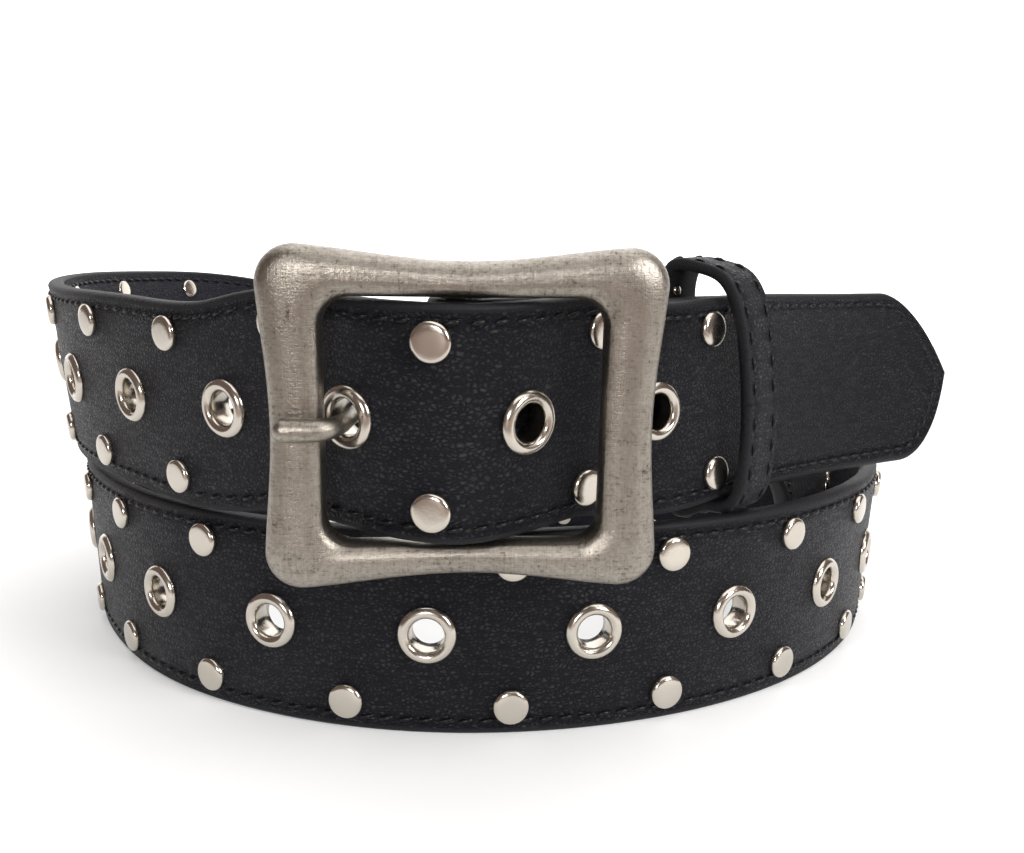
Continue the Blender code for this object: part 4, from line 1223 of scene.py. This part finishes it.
def floor_material():
    """The floor's finish: a glow of painted light round the belt that fades in front of it, where
    the tone darkens to a painted shade.
    """
    made, tree, shader = new_material("floor_painted_light", 0.7, colour=(0.8, 0.8, 0.8))
    start = tree.nodes.new("ShaderNodeTexCoord")
    parts = tree.nodes.new("ShaderNodeSeparateXYZ")
    fade = tree.nodes.new("ShaderNodeMapRange")
    fade.interpolation_type = "SMOOTHSTEP"
    set_inputs(fade, {"From Min": FADE_END, "From Max": FADE_START,
                      "To Min": FLOOR_DIM, "To Max": FLOOR_GLOW})
    tree.links.new(start.outputs["Object"], parts.inputs["Vector"])
    tree.links.new(parts.outputs["Y"], fade.inputs["Value"])
    tree.links.new(fade.outputs["Result"], shader.inputs["Emission Strength"])
    shader.inputs["Emission Color"].default_value = (0.95, 1.0, 1.0, 1.0)
    bright = (FLOOR_GLOW - FLOOR_DIM) * FLOOR_WHITE + FLOOR_DIM
    # Painted shade: the tone darkens from white where the glow fades.
    tone = ramp(tree, fade.outputs["Result"], [(FLOOR_DIM, FLOOR_PAINTED_SHADE), (bright, 0.8)])
    tree.links.new(tone, shader.inputs["Base Color"])
    return made


def stage_sheet(name, corners, finish):
    """A flat sheet of the stage."""
    mesh = bpy.data.meshes.new(name)
    mesh.from_pydata(corners, [], [(0, 1, 2, 3)])
    mesh.materials.append(finish)
    sheet = placed(name, mesh)


def white_stage():
    """The white floor that the belt stands on, and the white sheet behind it."""
    wide, near, far, high = 1.6, -1.2, 0.9, 1.2
    stage_sheet("floor", [(-wide, near, 0), (wide, near, 0), (wide, far, 0), (-wide, far, 0)],
                floor_material())
    stage_sheet("backdrop", [(-wide, far, 0), (wide, far, 0), (wide, far, high),
                             (-wide, far, high)], backdrop_material())


def area_light(name, place, target, size, power):
    """A softbox at a place, facing a target."""
    data = bpy.data.lights.new(name, "AREA")
    data.shape = "RECTANGLE"
    data.size, data.size_y = size
    data.energy = power
    made = placed(name, data)
    towards = Vector(target) - Vector(place)
    made.location = place
    made.rotation_euler = towards.to_track_quat("-Z", "Y").to_euler()


def lights():
    """Dim warm surroundings and three softboxes."""
    world = bpy.data.worlds.new("white_room")
    world.use_nodes = True
    background = world.node_tree.nodes["Background"]
    set_inputs(background, {"Color": (1.0, 0.76, 0.68, 1.0), "Strength": 0.20})
    bpy.context.scene.world = world
    centre = (0.0, -0.05, 0.04)
    area_light("key", (-0.18, -0.95, 0.28), centre, (0.12, 0.12), 4.0)
    area_light("top", (0.1, 0.0, 0.9), centre, (1.5, 1.1), 9.0)
    area_light("right", (0.70, -0.62, 0.42), centre, (0.20, 0.35), 6.0)


def camera(shift):
    """The photograph's camera."""
    data = bpy.data.cameras.new("photo_camera")
    data.lens = CAMERA_LENS
    data.sensor_width = SENSOR_WIDTH
    data.sensor_fit = "HORIZONTAL"
    data.clip_start = 0.01
    made = placed("photo_camera", data)
    level = Matrix.Rotation(math.radians(90 - CAMERA_DOWN), 4, "X")
    roll = Matrix.Rotation(math.radians(CAMERA_ROLL), 4, "Z")
    made.matrix_world = Matrix.Translation(Vector(CAMERA_PLACE) - Vector(shift)) @ level @ roll
    bpy.context.scene.camera = made


def dress():
    """Make every piece of the belt's looks."""
    shift = plan_shift()

    leather = leather_material("grained_leather", (0.006, 0.006, 0.009), 0.36, 1.0)
    lining = leather_material("smooth_lining", (0.006, 0.007, 0.013), 0.5, 0.3)
    keeper_leather = leather_material("keeper_leather", (0.007, 0.007, 0.010), 0.46, 0.6)
    edge = edge_material()
    thread_finish = thread_material()
    nickel = nickel_material()
    pewter = pewter_material()

    skin = strap_skin(shift, leather, edge, lining)
    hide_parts("strap")
    stitches = strap_stitches(shift, thread_finish)
    for piece in studs_and_rivets(shift, nickel):
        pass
    rings = eyelet_rings(shift, nickel)
    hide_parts(*[f"eyelet_{number:02d}" for number in range(1, len(pattern()[0]) + 1)])
    cast = frame_piece(shift, pewter)
    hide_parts("buckle_frame")
    wire = prong_piece(shift, pewter)
    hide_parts("prong")
    loop = keeper_piece(shift, keeper_leather, edge)
    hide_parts("keeper")
    rows = keeper_stitches(shift, thread_finish)
    knob = keeper_knob(nickel)
    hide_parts("keeper_rivet")
    camera(shift)


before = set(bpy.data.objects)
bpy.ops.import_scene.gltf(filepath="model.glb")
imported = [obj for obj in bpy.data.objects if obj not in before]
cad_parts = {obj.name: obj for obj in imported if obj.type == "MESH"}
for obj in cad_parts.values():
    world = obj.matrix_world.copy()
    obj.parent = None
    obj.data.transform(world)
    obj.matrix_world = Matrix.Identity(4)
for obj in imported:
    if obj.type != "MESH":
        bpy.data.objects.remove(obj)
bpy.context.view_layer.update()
dress()
white_stage()
lights()
bpy.context.scene.view_settings.view_transform = "Standard"
